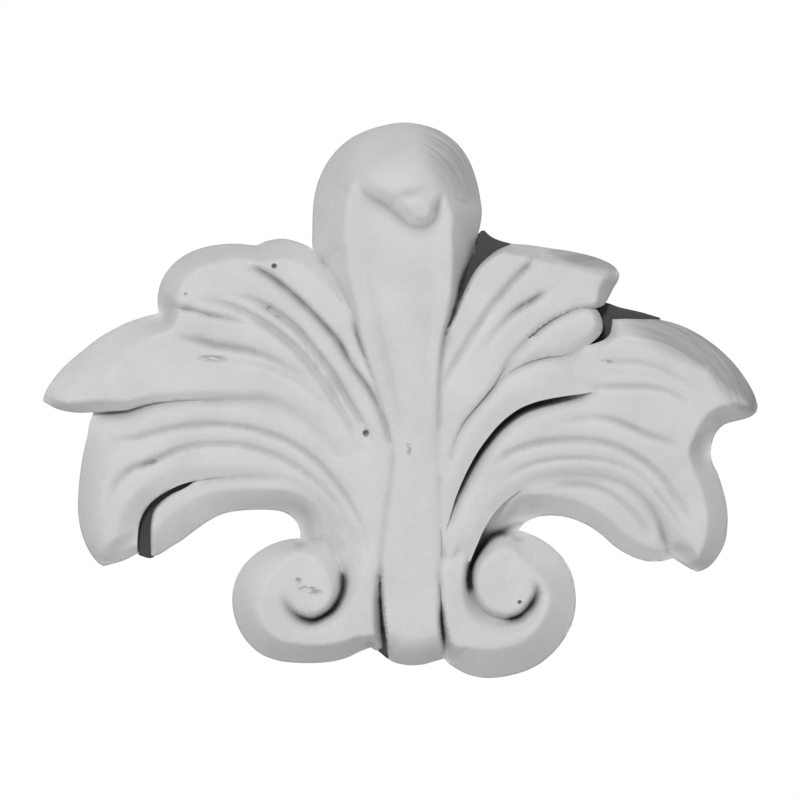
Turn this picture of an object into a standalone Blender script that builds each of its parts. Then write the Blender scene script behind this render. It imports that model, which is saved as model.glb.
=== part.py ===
"""Leaf and scroll onlay: one cast urethane ornament with a flat back.

The carving is drawn on a square grid, 714 steps wide and 554 high, with x to the right and y
down from a corner outside the work. Heights above the wall are drawn in millimetres for a
boss 17 mm high. WIDTH, HEIGHT and BOSS set the real size of all three.
"""

import bmesh
import bpy
import numpy as np
from mathutils import Vector
from mathutils.bvhtree import BVHTree
from mathutils.geometry import delaunay_2d_cdt
from mathutils.kdtree import KDTree

MM = 0.001
WIDTH = 155.6 * MM
HEIGHT = 120.8 * MM
BOSS = 17.0 * MM
LIP = 2.5 * MM
COLOUR = (0.78, 0.78, 0.77, 1.0)
ROUGHNESS = 0.55

GRID_WIDTH, GRID_HEIGHT = 714.0, 554.0
GRID_CENTRE = 400.0
DRAWN_BOSS = 17.0
RIM = LIP / BOSS * DRAWN_BOSS

LINE_SPACING = 8.0
TRIAL_SPACING = 4.0
FINEST_MISS = 0.1
CORNERS_A_ROUND = 360
MOST_CORNERS = 4000
THINNEST = 1.4
STEP_HALF_WIDTH = 0.3
LEAST_STEP = 0.6
BLEND = 0.3


def smooth_curve(points, pieces=9):
    """A Catmull-Rom curve through the points."""
    p = np.asarray(points, float)
    p = np.vstack([2 * p[0] - p[1], p, 2 * p[-1] - p[-2]])
    out = []
    for a, b, c, d in zip(p, p[1:], p[2:], p[3:]):
        for t in np.arange(pieces) / pieces:
            cubic = (3 * b - a - 3 * c + d) * t**3 + (2 * a - 5 * b + 4 * c - d) * t**2
            out.append(0.5 * (cubic + (c - a) * t + 2 * b))
    return np.array(out + [p[-2]])


def spread(values, count):
    """One value, or several evenly spread, for each of count points."""
    values = np.atleast_1d(np.asarray(values, float))
    return np.interp(np.linspace(0, 1, count), np.linspace(0, 1, len(values)), values)


def within(x, y, loop):
    """Which of the points are inside the closed loop."""
    found = np.zeros(x.shape, bool)
    for (x0, y0), (x1, y1) in zip(loop, np.roll(loop, -1, axis=0)):
        if y0 != y1:
            crosses = ((y0 <= y) != (y1 <= y)) & (x < (x1 - x0) * (y - y0) / (y1 - y0) + x0)
            found ^= crosses
    return found


class Line:
    """A smooth line on the grid, with values that change along it."""

    def __init__(self, points, **values):
        self.curve = smooth_curve(points)
        self.values = {name: spread(v, len(self.curve)) for name, v in values.items()}

    def near(self, x, y):
        """Distance to the line, side (1 on the right hand of travel) and the values there."""
        nearest = np.full(x.shape, np.inf)
        side, place = np.zeros(x.shape), np.zeros(x.shape)
        for i, (start, end) in enumerate(zip(self.curve, self.curve[1:])):
            (dx, dy), (px, py) = end - start, (x - start[0], y - start[1])
            t = np.clip((px * dx + py * dy) / (dx * dx + dy * dy), 0, 1)
            gap = (px - t * dx) ** 2 + (py - t * dy) ** 2
            closer = gap < nearest
            nearest[closer] = gap[closer]
            side[closer] = np.sign(dx * py - dy * px)[closer]
            place[closer] = i + t[closer]
        stations = np.arange(len(self.curve))
        found = {name: np.interp(place, stations, v) for name, v in self.values.items()}
        return np.sqrt(nearest), side, found


class Edge(Line):
    """A stretch of a leaf's outline, foot high at the line and full height at width inside it.

    With a top, the slope rises to that height instead and cuts the leaf where it is lower.
    """

    def __init__(self, points, width=4, foot=RIM, power=1.2, top=None, soft=0.5):
        self.has_top, self.soft = top is not None, soft
        super().__init__(points, width=width, foot=foot, power=power, top=top or 0)

    def limit(self, x, y, height):
        distance, _, v = self.near(x, y)
        t = np.clip(distance / v["width"], 0, 1)
        rise = 1 - (1 - t) ** v["power"]
        if not self.has_top:
            return np.minimum(v["foot"], height) + np.maximum(height - v["foot"], 0) * rise
        edge = v["foot"] + (v["top"] - v["foot"]) * rise
        share = np.clip(0.5 + 0.5 * (height - edge) / self.soft, 0, 1)
        lower = height * (1 - share) + edge * share - self.soft * share * (1 - share)
        return np.where(distance < v["width"], lower, height)


class Groove(Line):
    """A cut along a line that closes at right and left beside it, keen or round at the bottom."""

    ROUND = 1.2

    def __init__(self, points, depth=1, right=6, left=6, power=1.7, left_power=None, keen=True):
        left_power = power if left_power is None else left_power
        self.keen = keen
        super().__init__(points, depth=depth, right=right, left=left, power=power, left_power=left_power)
        self.reach = max(self.values["right"].max(), self.values["left"].max())

    def drop(self, x, y):
        cut = np.zeros(x.shape)
        low, high = self.curve.min(axis=0) - self.reach, self.curve.max(axis=0) + self.reach
        near = (x > low[0]) & (x < high[0]) & (y > low[1]) & (y < high[1])
        distance, side, v = self.near(x[near], y[near])
        right = side > 0
        distance = np.hypot(distance, self.ROUND) - self.ROUND
        t = np.clip(distance / np.where(right, v["right"], v["left"]), 0, 1)
        cut[near] = v["depth"] * (1 - t ** (1 if self.keen else 2)) ** np.where(right, v["power"], v["left_power"])
        return cut


class Leaf:
    """One layer of the carving: a level through a few spots, its edges and its grooves."""

    SPOT_SOFTNESS = 40.0

    def __init__(self, spots, edges, grooves=()):
        self.spots, self.edges, self.grooves = np.array(spots, float), edges, grooves
        self.loop = np.vstack([edge.curve[:-1] for edge in edges])
        count = len(spots)
        system = np.ones((count + 1, count + 1))
        system[count, count] = 0
        system[:count, :count] = self.reach(*(self.spots[:, None, :2] - self.spots[None, :, :2]).T).T
        self.weights = np.linalg.solve(system, np.append(self.spots[:, 2], 0))

    def reach(self, dx, dy):
        return np.sqrt(dx**2 + dy**2 + self.SPOT_SOFTNESS**2)

    def level(self, x, y):
        height = np.full(x.shape, self.weights[-1])
        for (spot_x, spot_y, _), weight in zip(self.spots, self.weights):
            height += weight * self.reach(x - spot_x, y - spot_y)
        return height

    def height(self, x, y):
        """Height above the wall, or -1 outside the leaf."""
        out = np.full(x.shape, -1.0)
        inside = within(x, y, self.loop)
        x, y = x[inside], y[inside]
        cuts = [np.zeros(x.shape)] + [groove.drop(x, y) for groove in self.grooves]
        height = self.level(x, y) - np.sum(np.power(cuts, 3), axis=0) ** (1 / 3)
        for edge in self.edges:
            height = edge.limit(x, y, height)
        out[inside] = height
        return out


def surface(leaves, x, y):
    """The height of the highest leaf, softly joined to the next, and which leaf it is."""
    height, owner = np.full(x.shape, -1.0), np.full(x.shape, -1)
    for i, leaf in enumerate(leaves):
        other = leaf.height(x, y)
        closeness = np.clip(1 - np.abs(other - height) / BLEND, 0, 1)
        joined = np.where((other > 0) & (height > 0), 0.25 * BLEND * closeness**2, 0)
        owner[other > height] = i
        height = np.maximum(height, other) + joined
    return height, owner


STEM_LEFT = [
    (313, 249), (320, 262), (328, 277), (337, 291), (346, 306), (353, 322), (358, 338), (367, 363),
    (375.5, 388), (382.5, 410), (388.5, 430), (391.5, 447), (391, 470), (387, 500), (383, 530),
    (380.5, 560), (380, 578), (381, 600), (382.5, 620), (385.5, 640), (389, 659),
]
CROWN_LOW = [
    (604, 305), (597, 308), (588, 308.5), (577, 309.5), (560, 315.5), (542, 326), (526, 340), (513, 354),
    (505, 366), (498, 378), (488, 392), (478, 404), (465, 420), (455, 440), (449, 465),
]
UNDER_LOW = [
    (580, 300), (592, 306), (599, 314), (602, 325), (600, 334), (591, 343), (577, 351), (562, 356),
    (545, 358), (530, 362), (517, 368), (505, 375.5), (494, 385), (485, 394.5), (476, 405), (466, 418),
    (458, 432), (451, 452), (447, 480),
]
STRAND_LOW = [
    (592, 392), (580, 394), (565, 396), (550, 398.5), (535, 402), (520, 408), (508, 416), (497, 426),
    (487, 438), (477, 452), (468, 468), (461, 483), (455, 498), (450, 515), (446, 530), (443, 548),
]


def ledges():
    """Low ground between the leaves, in the deep corners."""
    beside_boss = Leaf([(495, 242, 2.6), (480, 258, 3.5), (465, 285, 5.5), (452, 318, 8), (445, 340, 9.6)], [
        Edge([(468, 262), (474, 240), (483, 229)], 1, 2.5),
        Edge([(483, 229), (487, 233.5), (493, 238), (502, 241.5), (514, 244.5)], 1, 2.5),
        Edge([(514, 244.5), (506, 262), (480, 288), (460, 318), (446, 345)], 1, 2.5),
        Edge([(446, 345), (434, 340), (440, 300), (455, 270), (468, 262)], 1, 2.5),
    ])
    above_wing = Leaf([(600, 310, 1.6), (640, 316, 1.6), (610, 330, 2.0)], [
        Edge([(596, 305), (603, 303), (609, 303.5), (620, 307.5), (640, 312), (662, 318.5)], 1, 1.4),
        Edge([(662, 318.5), (650, 327), (622, 345), (598, 353)], 1, 1.6),
        Edge([(598, 353), (578, 345), (585, 322), (596, 305)], 1, 1.6),
    ])
    left_slot = Leaf([(145, 550, 2.6), (145, 515, 2.8), (180, 490, 4.5)], [
        Edge([(137, 540), (138, 553), (144, 556.5), (150, 558), (154, 557)], 1, 2.4),
        Edge([(154, 557), (154, 530), (158, 512), (170, 500), (196, 486)], 1, 2.4),
        Edge([(196, 486), (190, 476), (160, 486), (140, 505), (137, 540)], 1, 2.4),
    ])
    beside_stem = Leaf([(378, 645, 2.6), (379, 610, 3.5), (379, 585, 7)], [
        Edge([(366, 640), (371, 647), (378, 650.5), (386, 657), (393, 661.5)], 1, 2.4),
        Edge([(393, 661.5), (394, 640), (388, 600), (381, 575)], 1, 2.4),
        Edge([(381, 575), (374, 600), (366, 640)], 1, 2.4),
    ])
    return [beside_boss, above_wing, left_slot, beside_stem]


def left_foot():
    """The lowest lobe on the left, the strand it grows from and the scroll."""
    return Leaf([
        (170, 520, 6.6), (250, 490, 7.8), (310, 490, 9.4), (365, 560, 10.5), (365, 630, 10.2), (300, 645, 9.5),
        (255, 600, 9.3), (308, 590, 10.0), (385, 450, 10.5),
    ], [
        Edge([(152, 557), (161, 553.5), (171, 547), (183, 539.5), (197, 529), (211, 519.5), (224, 513.5),
              (240, 510.5), (260, 509.5), (278, 510.5), (289, 514.5), (296, 521), (300, 530), (300.5, 538)],
             [18, 22, 25, 28, 28, 27, 25, 23, 22, 22, 24, 26, 22, 12], power=1.15),
        Edge([(300.5, 538), (285, 540), (268, 546), (253, 556), (242, 568), (235, 583), (232.5, 598), (234, 613),
              (239, 628), (248, 642), (262, 654), (280, 660.5), (300, 662.5), (325, 662), (345, 658),
              (360, 651), (371, 647)],
             [12, 20, 26, 30, 32, 30, 28, 26, 25, 25, 24, 22, 21, 20, 19, 17, 14],
             power=[2, 1.8, 1.6, 1.3, 1.1, 1.1, 1.1]),
        Edge([(371, 647), (377, 650), (383, 645), (382, 620), (380.5, 600), (380, 578)], [9, 9, 9, 9, 8, 6],
             [2.6, 2.6, 2.8, 3.2, 5, 8.8]),
        Edge([(380, 578), (383, 560), (386, 530), (390, 500), (394, 470), (394.5, 447)], 8, [9.2, 9.9, 10, 10]),
        Edge([(394.5, 447), (340, 455), (290, 470), (240, 464), (205, 470), (196, 481)], 1, 7),
        Edge([(196, 481), (185, 488), (172, 494), (161, 502), (154, 511), (151, 525), (151, 540), (152, 557)],
             3.5, [6.4, 6, 5, 4, 3.6, 3.4, 3.2, 3], power=1.5),
    ], [
        Groove([(158, 507), (172, 499), (186, 492), (198, 488)], [0, 0.5, 0.5, 0], 5, 4),
        Groove([(300.5, 538), (318, 541), (331, 548), (339, 560), (343, 575), (342.5, 590), (337, 603),
                (327, 613), (312, 619), (297, 614), (287, 603), (283, 591)],
               [7.4, 6.2, 5.2, 4.6, 4.6, 4.9, 4.9, 4.5, 3.8, 2.4, 1, 0],
               [14, 18, 22, 22, 17, 12, 9, 8, 8, 8, 8, 6],
               [60, 56, 46, 34, 22, 15, 13, 13, 14, 14, 12, 8], 2, 1.9),
    ])


def right_foot():
    """The lowest lobe on the right, the strand it grows from and the scroll."""
    return Leaf([
        (575, 485, 5.9), (620, 502, 5.7), (648, 535, 5.0), (542, 490, 6.3), (505, 510, 7.8), (470, 530, 9.8),
        (455, 560, 10.3), (455, 600, 10.4),
        (470, 640, 9.9), (510, 650, 9.3), (550, 610, 8.2), (545, 560, 7.8), (505, 583, 8.6), (450, 470, 10.5),
    ], [
        Edge([(673, 558), (660, 561), (648, 561), (636, 558), (624, 552.5), (613, 545), (603, 536), (593, 528.5),
              (582, 522.5), (570, 518), (556, 515.5), (542, 516), (530, 519.5), (522, 525), (518.5, 530)],
             [12, 12, 13, 13, 14, 14, 14, 15, 16, 17, 19, 22, 26, 22, 12], power=1.1),
        Edge([(518.5, 530), (530, 534), (543, 540.5), (555, 549.5), (565, 561), (572, 576), (575.5, 597),
              (573.5, 617), (566, 635), (553, 652), (535, 666), (512, 674.5), (488, 677.5), (468, 674),
              (452, 665.5), (444, 658.5)],
             [20, 24, 25, 24, 23, 23, 23, 24, 26, 28, 30, 31, 31, 30, 26, 20], power=1.1),
        Edge([(444, 658.5), (444, 645), (442, 620), (441.5, 600)], [14, 9, 5, 4], [2.5, 3, 6, 9.6]),
        Edge([(441.5, 600), (439, 575), (438.5, 540)], 8, [9.6, 9.9, 9.9]),
        Edge([(438.5, 540), (468, 534), (486, 512), (503, 491), (524, 478), (556, 469), (600, 467), (640, 482),
              (660, 504), (672, 532), (673, 558)], [30, 30, 12, 4, 2, 1, 1, 1, 1, 1],
             [8.6, 8.6, 8, 7, 6, 5, 5, 4.5, 4, 3]),
    ], [
        Groove([(548, 487), (570, 484.5), (590, 486), (607, 492), (622, 502), (635, 514), (645, 527), (652, 541)],
               [0, 0.5, 0.6, 0.6, 0.6, 0.5, 0.4, 0]),
        Groove([(518.5, 530), (505, 531.5), (491, 537), (480, 547.5), (472, 561), (469, 576), (470.5, 590),
                (475, 602), (483, 611), (494, 616.5), (507, 618), (520, 614), (530, 604), (536, 592), (535, 580)],
               [7, 6.8, 6.4, 5.8, 5.4, 5, 4.4, 3.8, 3.4, 3.2, 3.6, 3.9, 3.6, 2.2, 0.3],
               [44, 38, 28, 18, 12, 10, 10, 11, 14, 17, 18, 18, 16, 14, 8],
               [20, 20, 18, 15, 12, 10, 9, 9, 9, 8, 6, 6, 6, 6, 6], 1.6, 2),
    ])


def left_fan():
    """The lower leaf on the left."""
    return Leaf([
        (100, 470, 7.8), (112, 414, 3.6), (140, 412, 5.6), (185, 405, 7.1), (200, 450, 8.2), (130, 520, 7.8),
        (300, 430, 9.0), (345, 500, 10.2), (365, 545, 10.5),
    ], [
        Edge([(96, 408), (90, 423), (88, 435), (85, 448), (82, 464), (79.5, 485), (78.5, 508), (80.5, 526),
              (85, 541), (91, 553), (98, 562), (104, 566)],
             [12, 24, 30, 34, 36, 36, 36, 34, 30, 26, 20, 14], power=1.9),
        Edge([(104, 566), (115, 563), (127, 559), (138, 553)], [14, 22, 25, 22], power=1.1),
        Edge([(138, 553), (138.5, 535), (141, 520), (147, 508), (155, 499.5), (165, 492.5), (180, 485),
              (196, 480.5), (215, 478), (240, 477), (262, 478.5), (282, 484), (300, 493.5), (318, 505),
              (332, 519), (343, 537), (350, 556), (353, 575)],
             [22, 21, 20, 19, 18, 18, 17, 16, 14, 12, 11, 12, 14, 17, 20, 23, 25, 25],
             [4.6, 4.8, 5.0, 5.3, 5.7, 6.2, 6.8, 7.1, 7.3, 7.6, 7.8, 8.1, 8.3, 8.5, 8.6, 8.7, 8.8, 9.0]),
        Edge([(353, 575), (370, 565), (385, 500), (390, 450)], [25, 20, 10, 10], [9, 9.4, 9.9, 9.9]),
        Edge([(390, 450), (340, 425), (280, 396), (200, 390), (140, 396), (96, 408)], 1, [9, 8, 7, 6, 5, 4]),
    ], [
        Groove([(112, 438), (140, 436), (160, 431), (180, 427), (200, 425), (225, 425), (250, 428), (270, 434),
                (290, 442), (310, 455), (328, 472), (345, 495), (358, 520)],
               [0.2, 0.6, 0.8, 0.8, 0.8, 0.8, 0.8, 0.7, 0.6, 0.5, 0.4, 0.3, 0], 4, 9),
        Groove([(107, 520), (109, 505), (114, 490), (123, 477), (134, 468), (147, 463.5), (160, 458), (180, 449),
                (205, 444), (235, 444), (260, 449), (285, 459), (305, 472), (322, 487), (338, 507), (350, 530)],
               [0, 0.4, 0.6, 0.7, 0.9, 1.1, 0.9, 0.6, 0.6, 0.6, 0.5, 0.4, 0.4, 0.3, 0.2, 0], 5, 8),
    ])


def left_crown():
    """The upper and the middle leaf on the left."""
    return Leaf([
        (70, 385, 7.6), (130, 365, 8.6), (200, 370, 9.0), (200, 330, 9.3), (200, 285, 9.4), (270, 270, 9.8),
        (300, 400, 9.5), (340, 330, 10.4), (385, 440, 10.7), (370, 500, 10.5),
    ], [
        Edge([(43, 401), (48, 388), (58, 374), (70, 361.5), (84, 350), (98, 339), (113, 330), (128, 322.5),
              (143, 317.5), (159, 313)], [20, 36, 44, 44, 40, 36, 30, 26, 24, 22], power=[1.6, 1.5, 1.4, 1.2]),
        Edge([(159, 313), (158, 298), (162, 281), (172, 266), (186, 255), (203, 248), (222, 244.5), (240, 244),
              (256, 245.5), (268, 241), (284, 239), (300, 243), (313, 250), (323, 263), (334, 280), (343, 296),
              (350, 304), (355, 312)],
             [20, 22, 22, 22, 20, 20, 19, 20, 21, 22, 22, 21, 18, 13, 8, 6, 5],
             [2.5, 2.5, 2.5, 2.5, 2.5, 2.5, 2.5, 2.5, 2.5, 2.5, 2.5, 2.6, 3.4, 5.8, 7.6, 8.8, 9.2, 9.3]),
        Edge([(355, 312), (361, 338), (370.5, 363), (379, 388), (386, 410), (391.5, 430), (394.5, 447),
              (394, 470), (390, 500)], 7, [9.1, 9.4, 9.6, 9.7, 9.8, 9.9, 10, 10, 10]),
        Edge([(390, 500), (383, 528), (372, 535), (362, 515)], 14, 9.8),
        Edge([(362, 515), (357, 494), (352, 476), (344, 460), (333, 446), (318, 431), (300, 416), (282, 406.5),
              (262, 401), (230, 400), (195, 400.3), (175, 401), (155, 403), (140, 406.5), (128, 410),
              (110, 411.5), (90, 412.5), (75, 412.5), (58, 409), (43, 401)],
             [8, 8, 9, 9, 10, 10, 11, 10, 10, 9, 9, 9, 9, 10, 12, 13, 14, 14, 12, 8],
             [10.2, 10.1, 10, 9.8, 9.5, 9.2, 8.8, 8.4, 8.0, 7.8, 7.7, 7.6, 7.4, 7.1, 6.8, 6.3, 5.5, 4.5, 3.5, 2.5]),
    ], [
        Groove([(228, 262), (250, 266.5), (265, 273), (280, 283), (300, 300), (320, 320), (340, 343), (352, 365),
                (370, 390), (382, 415), (390, 440)],
               [0.3, 1.2, 1.7, 1.7, 1.7, 1.7, 1.7, 1.5, 1.3, 1.1, 0.8], [14, 12, 12, 12, 11, 10, 9, 8], 4),
        Groove([(215, 297), (240, 298), (255, 301), (268, 308), (285, 319), (300, 332), (312, 347), (325, 363),
                (338, 382), (350, 403), (360, 420), (367, 434), (373, 455)],
               [0, 0.3, 0.6, 1.0, 1.1, 1.2, 1.2, 1.2, 1.2, 1.1, 1.0, 0.8, 0], 7, 5, 2, keen=False),
        Groove([(198, 302), (218, 303), (235, 308), (252, 316), (270, 327), (286, 339), (302, 354), (318, 374),
                (334, 398), (350, 422), (361, 440), (370, 460)],
               [0.2, 0.5, 0.8, 0.9, 1, 1.1, 1.1, 1.1, 1, 0.9, 0.6, 0], 8, 5, 2, keen=False),
        Groove([(170, 308.5), (185, 309.5), (197, 311.5), (212, 316), (228, 319), (243, 323), (257, 329.5)],
               [1.6, 1.5, 0.9, 1.0, 0.9, 0.7, 0], 4, 6),
        Groove([(183, 338.5), (200, 341), (218, 346), (238, 349), (257, 353.5), (275, 361), (295, 373), (312, 386),
                (330, 403), (342, 420)], [0.3, 0.7, 0.9, 0.9, 0.7, 0.5, 0.4, 0.3, 0.2, 0], 10, 8),
        Groove([(225, 363), (250, 363), (268, 367), (285, 374), (303, 385), (320, 398), (336, 414), (352, 440)],
               [0, 0.3, 0.4, 0.4, 0.35, 0.3, 0.2, 0], 6, 4),
    ])


def right_fan():
    """The outer part of the middle leaf on the right, and the lower leaf."""
    return Leaf([
        (640, 350, 9.1), (700, 390, 9.5), (740, 402, 8.8), (660, 400, 8.8), (690, 500, 8.2), (600, 430, 8.6),
        (560, 465, 8.3), (520, 450, 8.4), (640, 480, 8.2), (470, 520, 9.9), (455, 560, 10.3), (590, 345, 8.2),
    ], [
        Edge([(612, 319.5), (625, 319), (640, 319.3), (660, 320), (680, 325.5), (700, 335.5), (718, 348.5),
              (733, 363), (745, 379), (753, 393), (757, 405)], [20, 18, 20, 23, 25, 26, 26, 24, 20, 14, 8],
             [4, 4, 3, 2.5, 2.5, 2.5, 2.5, 2.5, 2.5, 2.5, 2.5], 1.0),
        Edge([(757, 405), (756, 411), (751, 416), (742, 419.5), (733, 421.5), (723, 425), (716, 432), (712, 441),
              (710, 452)], [8, 11, 14, 17, 19, 20, 20, 21, 22], power=1.1),
        Edge([(710, 452), (712, 463), (717, 473), (721, 485), (725, 500), (727, 515), (726.5, 530), (724, 543),
              (718, 555), (710, 565), (702, 570), (696, 571.5)],
             [24, 22, 22, 22, 22, 22, 22, 22, 20, 18, 14, 12], power=1.1),
        Edge([(696, 571.5), (688, 567.5), (680, 562.5), (673, 558)], [12, 16, 18, 18], 2.6),
        Edge([(673, 558), (667, 548), (662, 536), (655, 522), (648, 510), (640, 500), (628, 490), (612, 482.5),
              (595, 478.5), (575, 477.5), (555, 479), (537, 483), (522, 489), (508, 498), (495, 511), (485, 526),
              (478, 541), (470, 560)],
             [24, 22, 21, 20, 19, 18, 17, 17, 17, 17, 16, 15, 14, 13, 12, 10, 9, 8],
             [3.0, 3.6, 4.0, 4.3, 4.6, 4.9, 5.2, 5.4, 5.5, 5.6, 5.8, 6.3, 6.9, 7.6, 8.3, 9.0, 9.4, 9.7], 1.15),
        Edge([(470, 560), (456, 572), (438, 572), (438.5, 500), (440, 460)], [26, 30, 24, 7, 7],
             [8.6, 8.6, 8.6, 10, 10]),
        Edge([(440, 460), (480, 400), (540, 362), (585, 346)], 1, 6),
        Edge([(585, 346), (600, 341.5), (608, 336), (611, 328), (612, 319.5)], 7, [7.6, 6.6, 5, 4, 3]),
    ], [
        Groove([(592, 393), (580, 396), (565, 398), (550, 400.5), (535, 404), (520, 410), (508, 418), (497, 428),
                (487, 440), (477, 454), (468, 470), (461, 485), (455, 500), (450, 517), (446, 532)],
               [0.6, 1.6, 2.6, 3.4, 3.8, 4, 4, 3.9, 3.7, 3.4, 3.1, 2.6, 1.8, 0.9, 0], 18, 18, 2.2),
        Groove([(590, 358), (612, 362), (640, 364), (662, 371), (685, 384), (703, 398)],
               [0, 0.3, 0.3, 0.25, 0.2, 0], 5, 5),
        Groove([(570, 386), (600, 387), (630, 387), (655, 389), (675, 396), (690, 408)],
               [0, 0.4, 0.4, 0.4, 0.3, 0], 5, 5),
        Groove([(545, 424), (570, 420), (595, 418), (615, 421), (632, 428), (650, 436), (668, 442), (680, 450)],
               [0, 0.3, 0.4, 0.6, 0.7, 0.6, 0.4, 0], 6, 7),
        Groove([(490, 470), (505, 455), (525, 446), (545, 441.5), (575, 440), (600, 442), (620, 448), (640, 459),
                (658, 474), (672, 492), (684, 512), (693, 532)],
               [0, 0.5, 0.6, 0.6, 0.5, 0.5, 0.6, 0.7, 0.6, 0.5, 0.4, 0], 7, 7),
        Groove([(500, 484), (520, 469), (545, 461), (580, 459), (610, 463), (635, 474), (652, 489), (666, 507),
                (680, 528), (690, 545)], [0, 0.4, 0.5, 0.5, 0.5, 0.5, 0.5, 0.4, 0.4, 0]),
    ])


def right_strand():
    """The inner strand of the middle leaf on the right, raised above the lower leaf."""
    return Leaf([
        (575, 380, 8.9), (530, 385, 9.9), (480, 425, 10.4), (450, 480, 10.6), (446, 545, 9.9), (560, 350, 8.8),
    ], [
        Edge(STRAND_LOW, [10, 13, 15, 16, 17, 18, 18, 17, 16, 14, 12, 10, 8, 7, 6, 5],
             [8.6, 8.8, 9, 9.1, 9.2, 9.3, 9.4, 9.5, 9.6, 9.7, 9.8, 9.9, 10, 10.1, 10.3, 10.3], 1.6),
        Edge([(443, 548), (438.5, 500), (438, 450), (450, 400)], 7, 10),
        Edge([(450, 400), (500, 350), (560, 330), (590, 335)], 1, 8),
        Edge([(590, 335), (578, 350), (574, 364), (580, 380), (592, 392)], 34, [7.6, 7.7, 7.7, 7.8, 8.2], 1.5),
    ], [
        Groove(UNDER_LOW[4:], [0.2, 0.5, 0.8, 1, 1.1, 1.2, 1.2, 1.1, 1.2, 1.2, 1, 0.8, 0.5, 0.3, 0], 12, 14),
    ])


def right_under():
    """The short lobe that shows under the upper leaf on the right."""
    return Leaf([(580, 325, 9.3), (540, 345, 9.7), (500, 372, 10.1), (455, 440, 10.6)], [
        Edge(UNDER_LOW, [8, 8, 8, 9, 11, 12, 12, 12, 11, 10, 9, 8, 7, 7, 6, 6, 6, 6, 6],
             [5.5, 5.5, 5.5, 5.8, 6.5, 7.4, 8, 8.3, 8.5, 8.8, 9, 9.2, 9.4, 9.5, 9.7, 9.9, 10.1, 10.3, 10.3], 1.5),
        Edge([(447, 480), (438, 470), (438, 430), (470, 380), (530, 310), (580, 300)], 1, 9.6),
    ], [
        Groove(CROWN_LOW[1:], [0.8, 1, 1.1, 1.2, 1.3, 1.3, 1.2, 1, 0.7, 0.5, 0.3, 0.2, 0.1, 0], 12, 12),
    ])


def right_crown():
    """The upper leaf on the right."""
    return Leaf([
        (500, 262, 9.2), (560, 285, 9.4), (600, 290, 9.0), (520, 310, 10.0), (470, 330, 10.4), (450, 400, 10.8),
    ], [
        Edge([(512, 244), (530, 245.5), (550, 248.5), (570, 251.5), (590, 256), (603, 260.5), (613, 266),
              (619, 273)], [12, 14, 16, 17, 18, 18, 16, 12], power=1.1),
        Edge([(619, 273), (618, 280), (613, 288.5), (608.5, 297), (604, 305)], [12, 14, 15, 14, 10],
             [2.5, 2.5, 2.6, 3.2, 5]),
        Edge(CROWN_LOW, 5, [5, 6.5, 7.6, 8.3, 8.8, 9.1, 9.3, 9.6, 9.8, 9.9, 10.1, 10.2, 10.3, 10.4, 10.5], 1.5),
        Edge([(449, 465), (440, 460), (437.5, 430), (437.5, 375), (441, 343)], 7, 10),
        Edge([(441, 343), (445, 332), (453, 318), (459, 303), (466, 287), (475, 271), (485, 260), (497, 250.5),
              (512, 244)], [3, 3, 3.5, 4, 4, 4, 5, 6, 8], [9.5, 8.6, 8, 7.5, 7, 6.6, 5.5, 4, 2.6], 1.5),
    ], [
        Groove([(541, 252), (536, 258), (530, 264), (520, 273), (510, 284), (498, 298), (486, 313), (475, 330),
                (464, 348), (454, 364), (447, 377), (442, 392)],
               [0.8, 1.6, 1.4, 1.1, 1, 0.9, 0.8, 0.8, 0.7, 0.6, 0.4, 0], 5, 9),
        Groove([(556, 288), (547, 291.5), (538, 296.5), (529, 302), (519, 308), (508, 317), (498, 328), (488, 341),
                (478, 357)], [0, 0.3, 1.1, 1.4, 1.2, 0.9, 0.6, 0.4, 0], 4, 8),
    ])


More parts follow.
